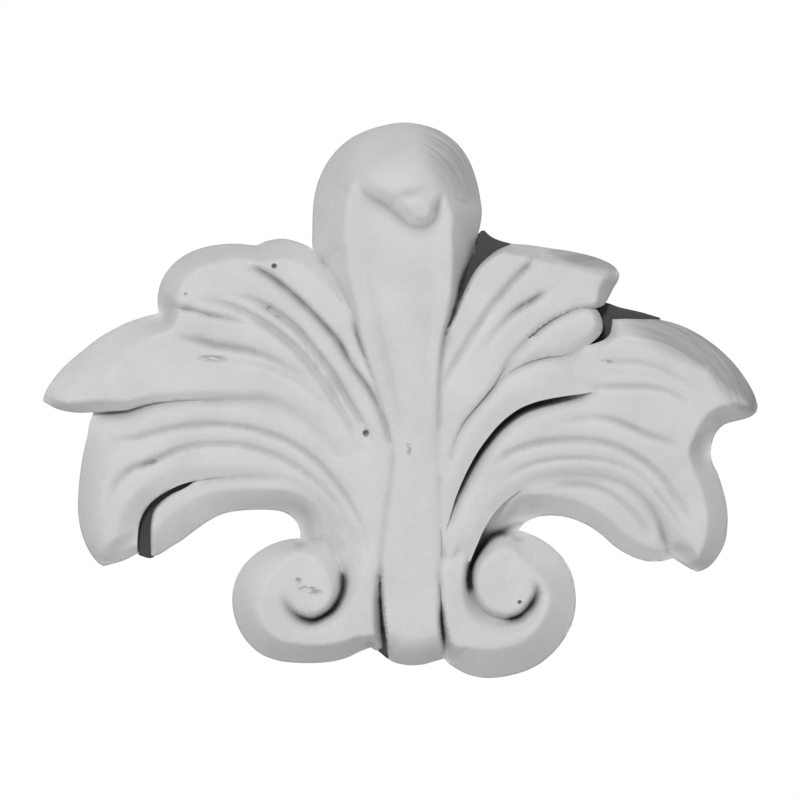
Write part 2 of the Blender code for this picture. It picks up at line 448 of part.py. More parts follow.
def stem():
    """The fluted stem, from under the boss down to the foot."""
    return Leaf([
        (400, 240, 13.6), (350, 240, 13.6), (440, 240, 13.6), (403, 320, 12.9), (408, 400, 11.6), (412, 480, 10.9),
        (411, 560, 10.8), (411, 620, 10.8),
    ], [
        Edge([(389, 659), (396, 662.5), (408, 664.7), (422, 664.2), (434, 661), (443.5, 658.3)], 32, 2.5, 2),
        Edge([(443.5, 658.3), (444, 645), (442, 620), (441.5, 600), (441, 560), (441.3, 500), (440.5, 440),
              (440, 400), (441, 370), (444.5, 343), (451, 320), (458, 298), (463, 282), (470, 262), (475.5, 243),
              (480, 226), (481.5, 212), (479, 197), (476.5, 183)],
             [5, 5, 5, 5, 8, 10, 10, 8, 6, 6, 6, 9, 13, 20, 27, 31, 34, 36, 36],
             [2.6, 3, 5, 8.6, 10, 10.05, 10.1, 10.1, 10.1, 9.7, 8, 6.5, 5, 4, 3, 2.6, 2.5, 2.5, 2.5], 1.2,
             [10.9, 10.9, 10.9, 10.9, 10.9, 11, 11.2, 11.6, 12.1, 12.7, 13.1, 13.3, 13.4, 13.5, 13.7, 13.9, 14.1,
              14.1, 14.1]),
        Edge([(476.5, 183), (450, 173), (400, 169), (350, 173), (318, 186)], 14, [2.5, 8, 9, 8, 2.5]),
        Edge([(318, 186), (314.5, 198), (313, 210), (312.5, 230)] + STEM_LEFT,
             [36, 36, 36, 35.5, 35, 33, 27, 20, 14, 10, 7, 6, 6, 6, 6, 6, 8, 10, 10, 8, 5, 4, 4, 4, 4],
             [2.5, 2.5, 2.5, 2.5, 3.0, 4.6, 6.6, 8, 9, 9.5, 9.8, 9.9, 10, 10, 10.05, 10.1, 10.1, 10.1, 10.1,
              10, 8.6, 5.5, 4, 3, 2.6], 1.2,
             [14, 14, 14, 13.9, 13.8, 13.7, 13.6, 13.5, 13.2, 12.9, 12.6, 12.2, 11.9, 11.6, 11.4, 11.2, 11.1, 11, 10.9, 10.9,
              10.9, 10.9, 10.9, 10.9, 10.9]),
    ], [
        Groove([(362, 215), (363, 250), (367, 280), (371, 305), (376, 335), (382, 360), (388, 385), (393, 412),
                (397, 440), (400, 470)], [0, 0.1, 0.3, 0.6, 0.8, 0.9, 0.8, 0.6, 0.3, 0],
               [20, 22, 24, 24, 22, 18, 16, 14, 12], [12, 13, 14, 16, 16, 15, 14, 12, 10], 2, keen=False),
        Groove([(428, 240), (428, 300), (431, 350), (434, 400), (436, 440)], [0.2, 0.4, 0.5, 0.4, 0.1], 24, 12, 2,
               keen=False),
    ])


def boss():
    """The round boss at the head of the stem, where the tip of the middle leaf folds over."""
    return Leaf([
        (405, 190, 17.0), (370, 180, 16.8), (440, 180, 16.8), (400, 150, 16.9), (418, 214, 16.3), (360, 205, 15.5),
    ], [
        Edge([(482, 212), (479.5, 195), (476, 180), (470, 163), (461, 148.5), (450, 138), (437, 130), (420, 124.8),
              (403, 123), (385, 125.5), (368, 130.5), (353, 137.5), (340, 147.5), (329, 160.5), (321, 175),
              (316, 190), (313, 208)], [56, 64, 70, 72, 72, 72, 70, 64, 56], RIM,
             [1.7, 2, 2.1, 2.2, 2.2, 2.2, 2.1, 2, 1.7]),
        Edge([(313, 208), (325, 204), (337, 199), (347, 196), (357, 198.5), (369, 204.5), (381, 211),
              (391, 217.5), (400, 225), (409, 230.5), (420, 231.5), (430, 228), (437, 221), (439.5, 212),
              (444, 206), (455, 205), (467, 207), (482, 212)],
             [10, 12, 14, 16, 18, 20, 20, 19, 18, 16, 14, 12, 11, 11, 12, 14, 12, 10],
             [2.5, 6.7, 10.6, 12.9, 13, 13, 12.9, 12.9, 13, 13.1, 13.1, 13.2, 13.3, 13.3, 13.3, 13.0, 8.8, 2.5],
             1.4),
    ], [
        Groove([(394, 212), (399, 204), (408, 198.5), (419, 196.5), (429, 198), (436, 203)],
               [0, 0.4, 0.7, 0.7, 0.5, 0], 7, 8, 2, keen=False),
    ])


def carving():
    """Every leaf of the onlay, from the lowest layer to the highest."""
    return ledges() + [
        left_foot(), right_foot(), left_fan(), left_crown(), right_fan(), right_strand(), right_under(),
        right_crown(), stem(), boss(),
    ]


def sampled(curve, spacing):
    """Points about spacing apart along a curve."""
    along = np.append(0, np.cumsum(np.hypot(*np.diff(curve, axis=0).T)))
    stations = np.linspace(0, along[-1], max(2, round(along[-1] / spacing) + 1))
    return np.stack([np.interp(stations, along, axis) for axis in curve.T], axis=1)


def into_leaf(leaf, points):
    """Unit directions across a stretch of the outline, pointing into the leaf."""
    run = np.gradient(points, axis=0)
    across = np.stack([-run[:, 1], run[:, 0]], axis=1) / np.linalg.norm(run, axis=1)[:, None]
    return across if within(*(points + across).T, leaf.loop).mean() > 0.5 else -across


def runs(kept):
    """The unbroken stretches, of at least two places, where kept is true."""
    ends = np.flatnonzero(np.diff(np.concatenate([[0], kept.astype(int), [0]])))
    return [slice(a, b) for a, b in zip(ends[::2], ends[1::2]) if b - a > 1]


def guide_lines(leaves):
    """The lines that facets follow: the outline, the steps between leaves and the grooves.

    A step has two lines, at its head and at its foot.
    """
    stretches = []
    for number, leaf in enumerate(leaves):
        for edge in leaf.edges:
            points = sampled(edge.curve, LINE_SPACING)
            stretches.append((number, points, into_leaf(leaf, points) * STEP_HALF_WIDTH))
        for groove in leaf.grooves:
            points = sampled(groove.curve, LINE_SPACING)
            stretches.append((number, points, np.zeros(points.shape)))
    places = np.vstack([points for _, points, _ in stretches])
    offsets = np.vstack([offset for _, _, offset in stretches])
    upper, owners = surface(leaves, *(places + offsets).T)
    lower, _ = surface(leaves, *(places - offsets).T)
    lines, start = [], 0
    for number, points, offset in stretches:
        span = slice(start, start + len(points))
        start = span.stop
        seen = owners[span] == number
        stepped = seen & (lower[span] > 0) & (upper[span] - lower[span] > LEAST_STEP)
        flush = seen & ~stepped
        beside = np.convolve(flush, [1, 1, 1], "same") > 0
        lines += [points[run] for run in runs(seen & beside)]
        for run in runs(stepped):
            lines += [(points + 0.3 * offset)[run], (points - 0.7 * offset)[run]]
    return lines


def trial_points(leaves, lines):
    """A close triangular pattern of points over the work, kept clear of the guide lines."""
    rows = np.arange(0, GRID_HEIGHT + TRIAL_SPACING, TRIAL_SPACING * 0.866) + GRID_CENTRE - GRID_HEIGHT / 2
    columns = np.arange(0, GRID_WIDTH + TRIAL_SPACING, TRIAL_SPACING) + GRID_CENTRE - GRID_WIDTH / 2
    points = np.array([(x + TRIAL_SPACING / 2 * (i % 2), y) for i, y in enumerate(rows) for x in columns])
    drawn = KDTree(sum(map(len, lines)))
    for i, point in enumerate(np.vstack(lines)):
        drawn.insert((*point, 0), i)
    drawn.balance()
    clear = np.array([drawn.find((*point, 0))[2] > 0.8 * TRIAL_SPACING for point in points])
    heights, _ = surface(leaves, *points.T)
    kept = clear & (heights > 0)
    return points[kept], heights[kept]


def heights(leaves, corners, triangles):
    """The height of each corner. On the rim it is taken from just inside the outline."""
    height, _ = surface(leaves, *corners.T)
    sides = np.sort(np.vstack([triangles[:, [0, 1]], triangles[:, [1, 2]], triangles[:, [2, 0]]]), axis=1)
    sides, uses = np.unique(sides, axis=0, return_counts=True)
    rim = np.unique(sides[uses == 1])
    for turn in np.arange(8) * np.pi / 4:
        beside, _ = surface(leaves, *(corners[rim] + 0.3 * np.array([np.cos(turn), np.sin(turn)])).T)
        height[rim] = np.maximum(height[rim], beside)
    return np.maximum(height, THINNEST)


def facets(leaves):
    """Corners on the grid, their heights, and the triangles between them over the whole work.

    It starts from the guide lines. In each round the triangles that miss the carving by most
    get another corner, at the point of the miss.
    """
    lines = guide_lines(leaves)
    points, edges = [], []
    for line in lines:
        edges += [(len(points) + i, len(points) + i + 1) for i in range(len(line) - 1)]
        points += [Vector(point) for point in line]
    trials, carved = trial_points(leaves, lines)
    while True:
        corners, _, triangles, *_ = delaunay_2d_cdt(points, edges, [], 0, 0.02)
        corners, triangles = np.array(corners), np.array(triangles)
        triangles = triangles[surface(leaves, *corners[triangles].mean(axis=1).T)[0] > 0]
        tops = heights(leaves, corners, triangles)
        if len(corners) >= MOST_CORNERS:
            return corners, tops, triangles
        sheet = BVHTree.FromPolygons([(*place, top) for place, top in zip(corners, tops)], triangles.tolist())
        worst = {}
        for place, height in zip(trials, carved):
            hit, _, triangle, _ = sheet.ray_cast((*place, 2 * DRAWN_BOSS), (0, 0, -1))
            miss = abs(hit.z - height) if hit else 0
            if miss > max(FINEST_MISS, worst.get(triangle, (0,))[0]):
                worst[triangle] = miss, tuple(place)
        points += [Vector(place) for _, place in sorted(worst.values())[-CORNERS_A_ROUND:]]


def solid(leaves):
    """The carving as one closed mesh, its flat back at y = 0 and its face towards -y."""
    corners, tops, triangles = facets(leaves)
    bm = bmesh.new()
    height_of = bm.verts.layers.float.new("height")
    sheet = [
        bm.verts.new(((x - GRID_CENTRE) / GRID_WIDTH * WIDTH, 0, (GRID_CENTRE - y) / GRID_HEIGHT * HEIGHT))
        for x, y in corners
    ]
    back = [bm.faces.new([sheet[i] for i in triangle]) for triangle in triangles]
    for vert, top in zip(sheet, tops):
        vert[height_of] = top / DRAWN_BOSS * BOSS
    raised = bmesh.ops.extrude_face_region(bm, geom=back, use_keep_orig=True)["geom"]
    for vert in raised:
        if isinstance(vert, bmesh.types.BMVert):
            vert.co.y = -vert[height_of]
    bmesh.ops.dissolve_faces(bm, faces=back)
    bmesh.ops.recalc_face_normals(bm, faces=bm.faces)
    mesh = bpy.data.meshes.new("leaf_onlay")
    bm.to_mesh(mesh)
    bm.free()
    return mesh


def primed_urethane():
    """White factory primer on urethane."""
    material = bpy.data.materials.new("primed_urethane")
    material.use_nodes = True
    shader = material.node_tree.nodes["Principled BSDF"]
    shader.inputs["Base Color"].default_value = COLOUR
    shader.inputs["Roughness"].default_value = ROUGHNESS
    return material


def main():
    for obj in list(bpy.data.objects):
        bpy.data.objects.remove(obj)
    onlay = bpy.data.objects.new("leaf_onlay", solid(carving()))
    onlay.data.materials.append(primed_urethane())
    bpy.context.scene.collection.objects.link(onlay)


main()
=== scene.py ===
"""The looks of the leaf and scroll onlay: its carving in full, its primer and the studio.

The carving is drawn on a square grid, 714 steps wide and 554 high, with x to the right and y
down from a corner outside the work. Heights above the wall are drawn in millimetres for a
boss 17 mm high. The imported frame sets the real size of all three.
"""

import bmesh
import bpy
import numpy as np
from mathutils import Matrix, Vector
from mathutils.geometry import delaunay_2d_cdt
from mathutils.kdtree import KDTree


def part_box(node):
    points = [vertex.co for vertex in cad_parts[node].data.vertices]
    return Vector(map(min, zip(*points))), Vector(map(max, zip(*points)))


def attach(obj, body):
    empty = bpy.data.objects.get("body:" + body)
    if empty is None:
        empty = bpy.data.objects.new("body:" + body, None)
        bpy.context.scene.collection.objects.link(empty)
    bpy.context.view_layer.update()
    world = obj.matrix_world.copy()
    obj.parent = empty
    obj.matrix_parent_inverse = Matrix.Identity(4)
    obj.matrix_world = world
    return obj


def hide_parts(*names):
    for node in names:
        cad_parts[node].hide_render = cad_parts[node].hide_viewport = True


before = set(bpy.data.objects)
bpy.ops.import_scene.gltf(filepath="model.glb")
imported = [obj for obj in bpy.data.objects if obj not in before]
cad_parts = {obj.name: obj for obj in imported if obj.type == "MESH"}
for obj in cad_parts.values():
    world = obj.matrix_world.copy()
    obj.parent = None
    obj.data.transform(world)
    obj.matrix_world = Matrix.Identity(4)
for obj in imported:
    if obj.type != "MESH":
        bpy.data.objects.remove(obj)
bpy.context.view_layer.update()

MM = 0.001
LOW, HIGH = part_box("leaf_onlay")
WIDTH = HIGH[0] - LOW[0]
BOSS = HIGH[1] - LOW[1]

GRID_WIDTH, GRID_HEIGHT = 714.0, 554.0
GRID_CENTRE = 400.0
STEP = WIDTH / GRID_WIDTH
DRAWN_BOSS = 17.0
LIP = 2.5 * MM
RIM = LIP / BOSS * DRAWN_BOSS

# The mesh, in steps of the grid
LINE_SPACING = 2.4
FILL_SPACING = 2.5
ROW_SHARE = 0.866
CLEARANCE = 0.5 * FILL_SPACING
STEP_HALF_WIDTH = 0.3
HEAD_SHARE, FOOT_SHARE = 0.3, 0.7
GROOVE_SHOULDER = 2.2
INSIDE_RIM = 0.3
LEAST_GAP = 0.02

# Heights, in drawn millimetres
LEAST_STEP = 0.25
THINNEST = 1.4
BLEND = 0.3

# Smoothing: the rounds, the height of a ripple that it takes away and the weight of the corner itself
SOFTENINGS = 2
RIPPLE = 0.2
OWN_WEIGHT = 2

# Painted shade in grooves, at the feet of steps and on low ground: rounds of averaging round a corner, and
# how deep a hollow counts
PAINTED_SHADE_REACH = 14
LEAST_SIDE = 0.5
FLUTE_SHARE, FLUTE_HOLLOW, DEEPEST_HOLLOW = 0.30, 0.42, 1.5
RIM_MARGIN, RIM_SHARE = 13.0, 0.1
BESIDE_RIM = 0.4
LOW_GROUND, LOW_GROUND_TOP, LOW_GROUND_FADE = 4, 7.0, 2

# Pits left by bubbles: x, y, radius and depth, and shares of the radius
PITS = [(275, 267, 3.0, 1.6), (366, 433, 3.6, 1.6), (187, 295, 2.0, 0.6), (519, 601, 2.4, 1.4)]
PIT_RINGS, RING_CORNERS = (0.4, 0.8, 1.0), 10
PIT_CLEARANCE, PIT_REACH = 1.3, 1.5

# Oval places on the face: x, y, half width, half height and turn in degrees
# Streaky primer and painted shade on the side of the boss turned away from the lamp
BOSS_STREAKS_AND_SHADE = [(455, 160, 54, 32, 58), (446, 150, 30, 22, 30)]
# Streaky primer and painted shade on the upper rims on the right, which face away from the lamp
WING_STREAKS_AND_SHADE = [(692, 342, 84, 26, 24), (734, 376, 52, 26, 50), (585, 260, 44, 9, 12)]
WING_STREAKS_AND_SHADE_STRENGTH = 1.5
# Places where the painted shade in the hollows is weakened
LIT_PLACES = [
    (334, 283, 54, 16, 60), (166, 316, 18, 20, 0), (687, 549, 18, 16, 0), (704, 447, 16, 30, 10),
    (506, 508, 34, 18, -30), (326, 552, 32, 18, 35), (487, 607, 28, 13, 38), (605, 290, 20, 16, 0),
]
LIT_SHARE, LIT_STRENGTH = 0.75, 2
SCUFFS = [
    (213, 358.5, 18, 4, 2), (605, 362, 8, 3, 0), (272, 310, 14, 5, 45), (152, 462, 9, 3, -20),
    (310, 588, 15, 5, 10), (409, 447, 2.5, 9, 0), (298, 578, 6, 4, 30),
]

# The primer: its tones and the tones of painted shade, the middles that brushed streaks run round, and the
# scale and detail of noise
DULL_PRIMER = (0.70, 0.70, 0.70, 1)
CLEAN_PRIMER = (0.80, 0.80, 0.795, 1)
# Tone of the streaky primer and painted shade on the boss and on the upper rims on the right
STREAKED_SHADE_TONE = (0.42, 0.42, 0.42, 1)
SCUFF_TONE = (0.30, 0.30, 0.30, 1)
# Near black of the painted shade in grooves, deep corners and on low ground
PAINTED_SHADE_TONE = (0.06, 0.06, 0.06, 1)
BOSS_MIDDLE = ((405 - GRID_CENTRE) * STEP, -BOSS, (GRID_CENTRE - 205) * STEP)
WING_MIDDLE = ((630 - GRID_CENTRE) * STEP, -0.5 * BOSS, (GRID_CENTRE - 440) * STEP)
MOTTLE, GRAIN, SPECKS, STREAKS = (95.0, 3.0), (900.0, 2.0), (620.0, 3.0), (130.0, 4.0)
SPECK_STRETCH = (0.5, 1, 1.8)
STREAK_BEND = 9.0
GRAIN_SHARE = 0.3
TONE_RANGE, SPECK_RANGE = (0.3, 0.7), (0.46, 0.56)
BOSS_STREAK_RANGE, WING_STREAK_RANGE = (0.2, 0.8), (0.0, 0.75)
STREAK_RELIEF = 0.35
DENT_STRENGTH, DENT_DEPTH = 0.4, 0.15 * MM
ROUGHNESS, ROUGHNESS_SPREAD = 0.5, 0.15
SPECULAR = 0.3

FLAT_BACK = 0.99
SHARP_ANGLE = 62

# The studio
FLOOR_SIZE, FLOOR_LEVEL = 1.2, -0.14
FLOOR_TONE, FLOOR_ROUGHNESS = (0.85, 0.85, 0.85, 1), 0.8
SURROUND_LIGHT = 0.32
LAMPS = [("key", (-0.24, -1.5, 0.72), 0.30, 13.0)]
LENS, SENSOR = 300.0, 36.0
PHOTO_WIDTH = 800
FRAME_WIDTH = PHOTO_WIDTH * STEP
NEAREST_SEEN, FARTHEST_SEEN = 0.01, 20


def smooth_curve(points, pieces=9):
    """A Catmull-Rom curve through the points."""
    p = np.asarray(points, float)
    p = np.vstack([2 * p[0] - p[1], p, 2 * p[-1] - p[-2]])
    out = []
    for a, b, c, d in zip(p, p[1:], p[2:], p[3:]):
        for t in np.arange(pieces) / pieces:
            cubic = (3 * b - a - 3 * c + d) * t**3 + (2 * a - 5 * b + 4 * c - d) * t**2
            out.append(0.5 * (cubic + (c - a) * t + 2 * b))
    return np.array(out + [p[-2]])


def spread(values, count):
    """One value, or several evenly spread, for each of count points."""
    values = np.atleast_1d(np.asarray(values, float))
    return np.interp(np.linspace(0, 1, count), np.linspace(0, 1, len(values)), values)


def within(x, y, loop):
    """Which of the points are inside the closed loop."""
    found = np.zeros(x.shape, bool)
    for (x0, y0), (x1, y1) in zip(loop, np.roll(loop, -1, axis=0)):
        if y0 != y1:
            crosses = ((y0 <= y) != (y1 <= y)) & (x < (x1 - x0) * (y - y0) / (y1 - y0) + x0)
            found ^= crosses
    return found


class Line:
    """A smooth line on the grid, with values that change along it."""

    def __init__(self, points, **values):
        self.curve = smooth_curve(points)
        self.values = {name: spread(v, len(self.curve)) for name, v in values.items()}

    def near(self, x, y):
        """Distance to the line, side (1 on the right hand of travel) and the values there."""
        nearest = np.full(x.shape, np.inf)
        side, place = np.zeros(x.shape), np.zeros(x.shape)
        for i, (start, end) in enumerate(zip(self.curve, self.curve[1:])):
            (dx, dy), (px, py) = end - start, (x - start[0], y - start[1])
            t = np.clip((px * dx + py * dy) / (dx * dx + dy * dy), 0, 1)
            gap = (px - t * dx) ** 2 + (py - t * dy) ** 2
            closer = gap < nearest
            nearest[closer] = gap[closer]
            side[closer] = np.sign(dx * py - dy * px)[closer]
            place[closer] = i + t[closer]
        stations = np.arange(len(self.curve))
        found = {name: np.interp(place, stations, v) for name, v in self.values.items()}
        return np.sqrt(nearest), side, found


class Edge(Line):
    """A stretch of a leaf's outline, foot high at the line and full height at width inside it.

    With a top, the slope rises to that height instead and cuts the leaf where it is lower.
    """

    SOFT = 0.5

    def __init__(self, points, width=4, foot=RIM, power=1.2, top=None):
        self.has_top = top is not None
        super().__init__(points, width=width, foot=foot, power=power, top=top or 0)

    def limit(self, x, y, height):
        """The height at each point once the slope of this edge has cut it."""
        distance, _, v = self.near(x, y)
        t = np.clip(distance / v["width"], 0, 1)
        rise = 1 - (1 - t) ** v["power"]
        if not self.has_top:
            return np.minimum(v["foot"], height) + np.maximum(height - v["foot"], 0) * rise
        edge = v["foot"] + (v["top"] - v["foot"]) * rise
        share = np.clip(0.5 + 0.5 * (height - edge) / self.SOFT, 0, 1)
        lower = height * (1 - share) + edge * share - self.SOFT * share * (1 - share)
        return np.where(distance < v["width"], lower, height)


class Groove(Line):
    """A cut along a line that closes at right and left beside it, keen or round at the bottom."""

    ROUND = 1.2

    def __init__(self, points, depth=1, right=6, left=6, power=1.7, left_power=None, keen=True):
        left_power = power if left_power is None else left_power
        self.bend = 1 if keen else 2
        super().__init__(
            points, depth=depth, right=right, left=left, power=power, left_power=left_power
        )
        self.reach = max(self.values["right"].max(), self.values["left"].max())

    def drop(self, x, y):
        """How deep the cut is at each point."""
        cut = np.zeros(x.shape)
        low, high = self.curve.min(axis=0) - self.reach, self.curve.max(axis=0) + self.reach
        near = (x > low[0]) & (x < high[0]) & (y > low[1]) & (y < high[1])
        distance, side, v = self.near(x[near], y[near])
        right = side > 0
        distance = np.hypot(distance, self.ROUND) - self.ROUND
        t = np.clip(distance / np.where(right, v["right"], v["left"]), 0, 1)
        cut[near] = v["depth"] * (1 - t**self.bend) ** np.where(right, v["power"], v["left_power"])
        return cut


class Leaf:
    """One layer of the carving: a level through a few spots, its edges and its grooves."""

    SPOT_SOFTNESS = 40.0
    CUT_POWER = 3

    def __init__(self, spots, edges, grooves=()):
        self.spots, self.edges, self.grooves = np.array(spots, float), edges, grooves
        self.loop = np.vstack([edge.curve[:-1] for edge in edges])
        count = len(spots)
        system = np.ones((count + 1, count + 1))
        system[count, count] = 0
        system[:count, :count] = self.reach(*(self.spots[:, None, :2] - self.spots[None, :, :2]).T).T
        self.weights = np.linalg.solve(system, np.append(self.spots[:, 2], 0))

    def reach(self, dx, dy):
        return np.sqrt(dx**2 + dy**2 + self.SPOT_SOFTNESS**2)

    def level(self, x, y):
        """The height before edges and grooves are cut."""
        height = np.full(x.shape, self.weights[-1])
        for (spot_x, spot_y, _), weight in zip(self.spots, self.weights):
            height += weight * self.reach(x - spot_x, y - spot_y)
        return height

    def height(self, x, y):
        """Height above the wall, or -1 outside the leaf. Where grooves cross, the deepest counts most."""
        out = np.full(x.shape, -1.0)
        inside = within(x, y, self.loop)
        x, y = x[inside], y[inside]
        cuts = [np.zeros(x.shape)] + [groove.drop(x, y) for groove in self.grooves]
        cut = np.sum(np.power(cuts, self.CUT_POWER), axis=0) ** (1 / self.CUT_POWER)
        height = self.level(x, y) - cut
        for edge in self.edges:
            height = edge.limit(x, y, height)
        out[inside] = height
        return out


def surface(leaves, x, y):
    """The height of the highest leaf, softly joined to the next, and which leaf it is."""
    height, owner = np.full(x.shape, -1.0), np.full(x.shape, -1)
    for i, leaf in enumerate(leaves):
        other = leaf.height(x, y)
        closeness = np.clip(1 - np.abs(other - height) / BLEND, 0, 1)
        joined = np.where((other > 0) & (height > 0), 0.25 * BLEND * closeness**2, 0)
        owner[other > height] = i
        height = np.maximum(height, other) + joined
    return height, owner


STEM_LEFT = [
    (313, 249), (320, 262), (328, 277), (337, 291), (346, 306), (353, 322), (358, 338), (367, 363),
    (375.5, 388), (382.5, 410), (388.5, 430), (391.5, 447), (391, 470), (387, 500), (383, 530),
    (380.5, 560), (380, 578), (381, 600), (382.5, 620), (385.5, 640), (389, 659),
]
CROWN_LOW = [
    (604, 305), (597, 308), (588, 308.5), (577, 309.5), (560, 315.5), (542, 326), (526, 340), (513, 354),
    (505, 366), (498, 378), (488, 392), (478, 404), (465, 420), (455, 440), (449, 465),
]
UNDER_LOW = [
    (580, 300), (592, 306), (599, 314), (602, 325), (600, 334), (591, 343), (577, 351), (562, 356),
    (545, 358), (530, 362), (517, 368), (505, 375.5), (494, 385), (485, 394.5), (476, 405), (466, 418),
    (458, 432), (451, 452), (447, 480),
]
STRAND_LOW = [
    (592, 392), (580, 394), (565, 396), (550, 398.5), (535, 402), (520, 408), (508, 416), (497, 426),
    (487, 438), (477, 452), (468, 468), (461, 483), (455, 498), (450, 515), (446, 530), (443, 548),
]


def ledges():
    """Low ground between the leaves, in the deep corners."""
    beside_boss = Leaf([(495, 242, 2.6), (480, 258, 3.5), (465, 285, 5.5), (452, 318, 8),
                        (445, 340, 9.6)], [
        Edge([(468, 262), (474, 240), (483, 229)], 1, 2.5),
        Edge([(483, 229), (487, 233.5), (493, 238), (502, 241.5), (514, 244.5)], 1, 2.5),
        Edge([(514, 244.5), (506, 262), (480, 288), (460, 318), (446, 345)], 1, 2.5),
        Edge([(446, 345), (434, 340), (440, 300), (455, 270), (468, 262)], 1, 2.5),
    ])
    above_wing = Leaf([(600, 310, 1.6), (640, 316, 1.6), (610, 330, 2.0)], [
        Edge([(596, 305), (603, 303), (609, 303.5), (620, 307.5), (640, 312), (662, 318.5)], 1, 1.4),
        Edge([(662, 318.5), (650, 327), (622, 345), (598, 353)], 1, 1.6),
        Edge([(598, 353), (578, 345), (585, 322), (596, 305)], 1, 1.6),
    ])
    left_slot = Leaf([(145, 550, 2.6), (145, 515, 2.8), (180, 490, 4.5)], [
        Edge([(137, 540), (138, 553), (144, 556.5), (150, 558), (154, 557)], 1, 2.4),
        Edge([(154, 557), (154, 530), (158, 512), (170, 500), (196, 486)], 1, 2.4),
        Edge([(196, 486), (190, 476), (160, 486), (140, 505), (137, 540)], 1, 2.4),
    ])
    beside_stem = Leaf([(378, 645, 2.6), (379, 610, 3.5), (379, 585, 7)], [
        Edge([(366, 640), (371, 647), (378, 650.5), (386, 657), (393, 661.5)], 1, 2.4),
        Edge([(393, 661.5), (394, 640), (388, 600), (381, 575)], 1, 2.4),
        Edge([(381, 575), (374, 600), (366, 640)], 1, 2.4),
    ])
    return [beside_boss, above_wing, left_slot, beside_stem]


def left_foot():
    """The lowest lobe on the left, the strand it grows from and the scroll."""
    return Leaf([
        (170, 520, 6.6), (250, 490, 7.8), (310, 490, 9.4), (365, 560, 10.5), (365, 630, 10.2),
        (300, 645, 9.5), (255, 600, 9.3), (308, 590, 10.0), (385, 450, 10.5),
    ], [
        Edge([(152, 557), (161, 553.5), (171, 547), (183, 539.5), (197, 529), (211, 519.5), (224, 513.5),
              (240, 510.5), (260, 509.5), (278, 510.5), (289, 514.5), (296, 521), (300, 530), (300.5, 538)],
             [18, 22, 25, 28, 28, 27, 25, 23, 22, 22, 24, 26, 22, 12], power=1.15),
        Edge([(300.5, 538), (285, 540), (268, 546), (253, 556), (242, 568), (235, 583), (232.5, 598),
              (234, 613), (239, 628), (248, 642), (262, 654), (280, 660.5), (300, 662.5), (325, 662),
              (345, 658), (360, 651), (371, 647)],
             [12, 20, 26, 30, 32, 30, 28, 26, 25, 25, 24, 22, 21, 20, 19, 17, 14],
             power=[2, 1.8, 1.6, 1.3, 1.1, 1.1, 1.1]),
        Edge([(371, 647), (377, 650), (383, 645), (382, 620), (380.5, 600), (380, 578)], [9, 9, 9, 9, 8, 6],
             [2.6, 2.6, 2.8, 3.2, 5, 8.8]),
        Edge([(380, 578), (383, 560), (386, 530), (390, 500), (394, 470), (394.5, 447)], 8,
             [9.2, 9.9, 10, 10]),
        Edge([(394.5, 447), (340, 455), (290, 470), (240, 464), (205, 470), (196, 481)], 1, 7),
        Edge([(196, 481), (185, 488), (172, 494), (161, 502), (154, 511), (151, 525), (151, 540),
              (152, 557)],
             3.5, [6.4, 6, 5, 4, 3.6, 3.4, 3.2, 3], power=1.5),
    ], [
        Groove([(158, 507), (172, 499), (186, 492), (198, 488)], [0, 0.5, 0.5, 0], 5, 4),
        Groove([(290, 442), (310, 455), (328, 472), (345, 495), (358, 520), (366, 550), (371, 585)],
               [0.9, 0.9, 0.9, 0.8, 0.7, 0.5, 0], 5, 9),
        Groove([(305, 472), (322, 487), (338, 507), (349, 530), (356, 560), (360, 595)],
               [0.8, 0.8, 0.7, 0.6, 0.4, 0], 5, 8),
        Groove([(300.5, 538), (318, 541), (331, 548), (339, 560), (343, 575), (342.5, 590), (337, 603),
                (327, 613), (312, 619), (297, 614), (287, 603), (283, 591)],
               [7.4, 6.2, 5.2, 4.6, 4.6, 4.9, 4.9, 4.5, 3.8, 2.4, 1, 0],
               [14, 18, 22, 22, 17, 12, 9, 8, 8, 8, 8, 6],
               [60, 56, 46, 34, 22, 15, 13, 13, 14, 14, 12, 8], 2, 1.9),
    ])


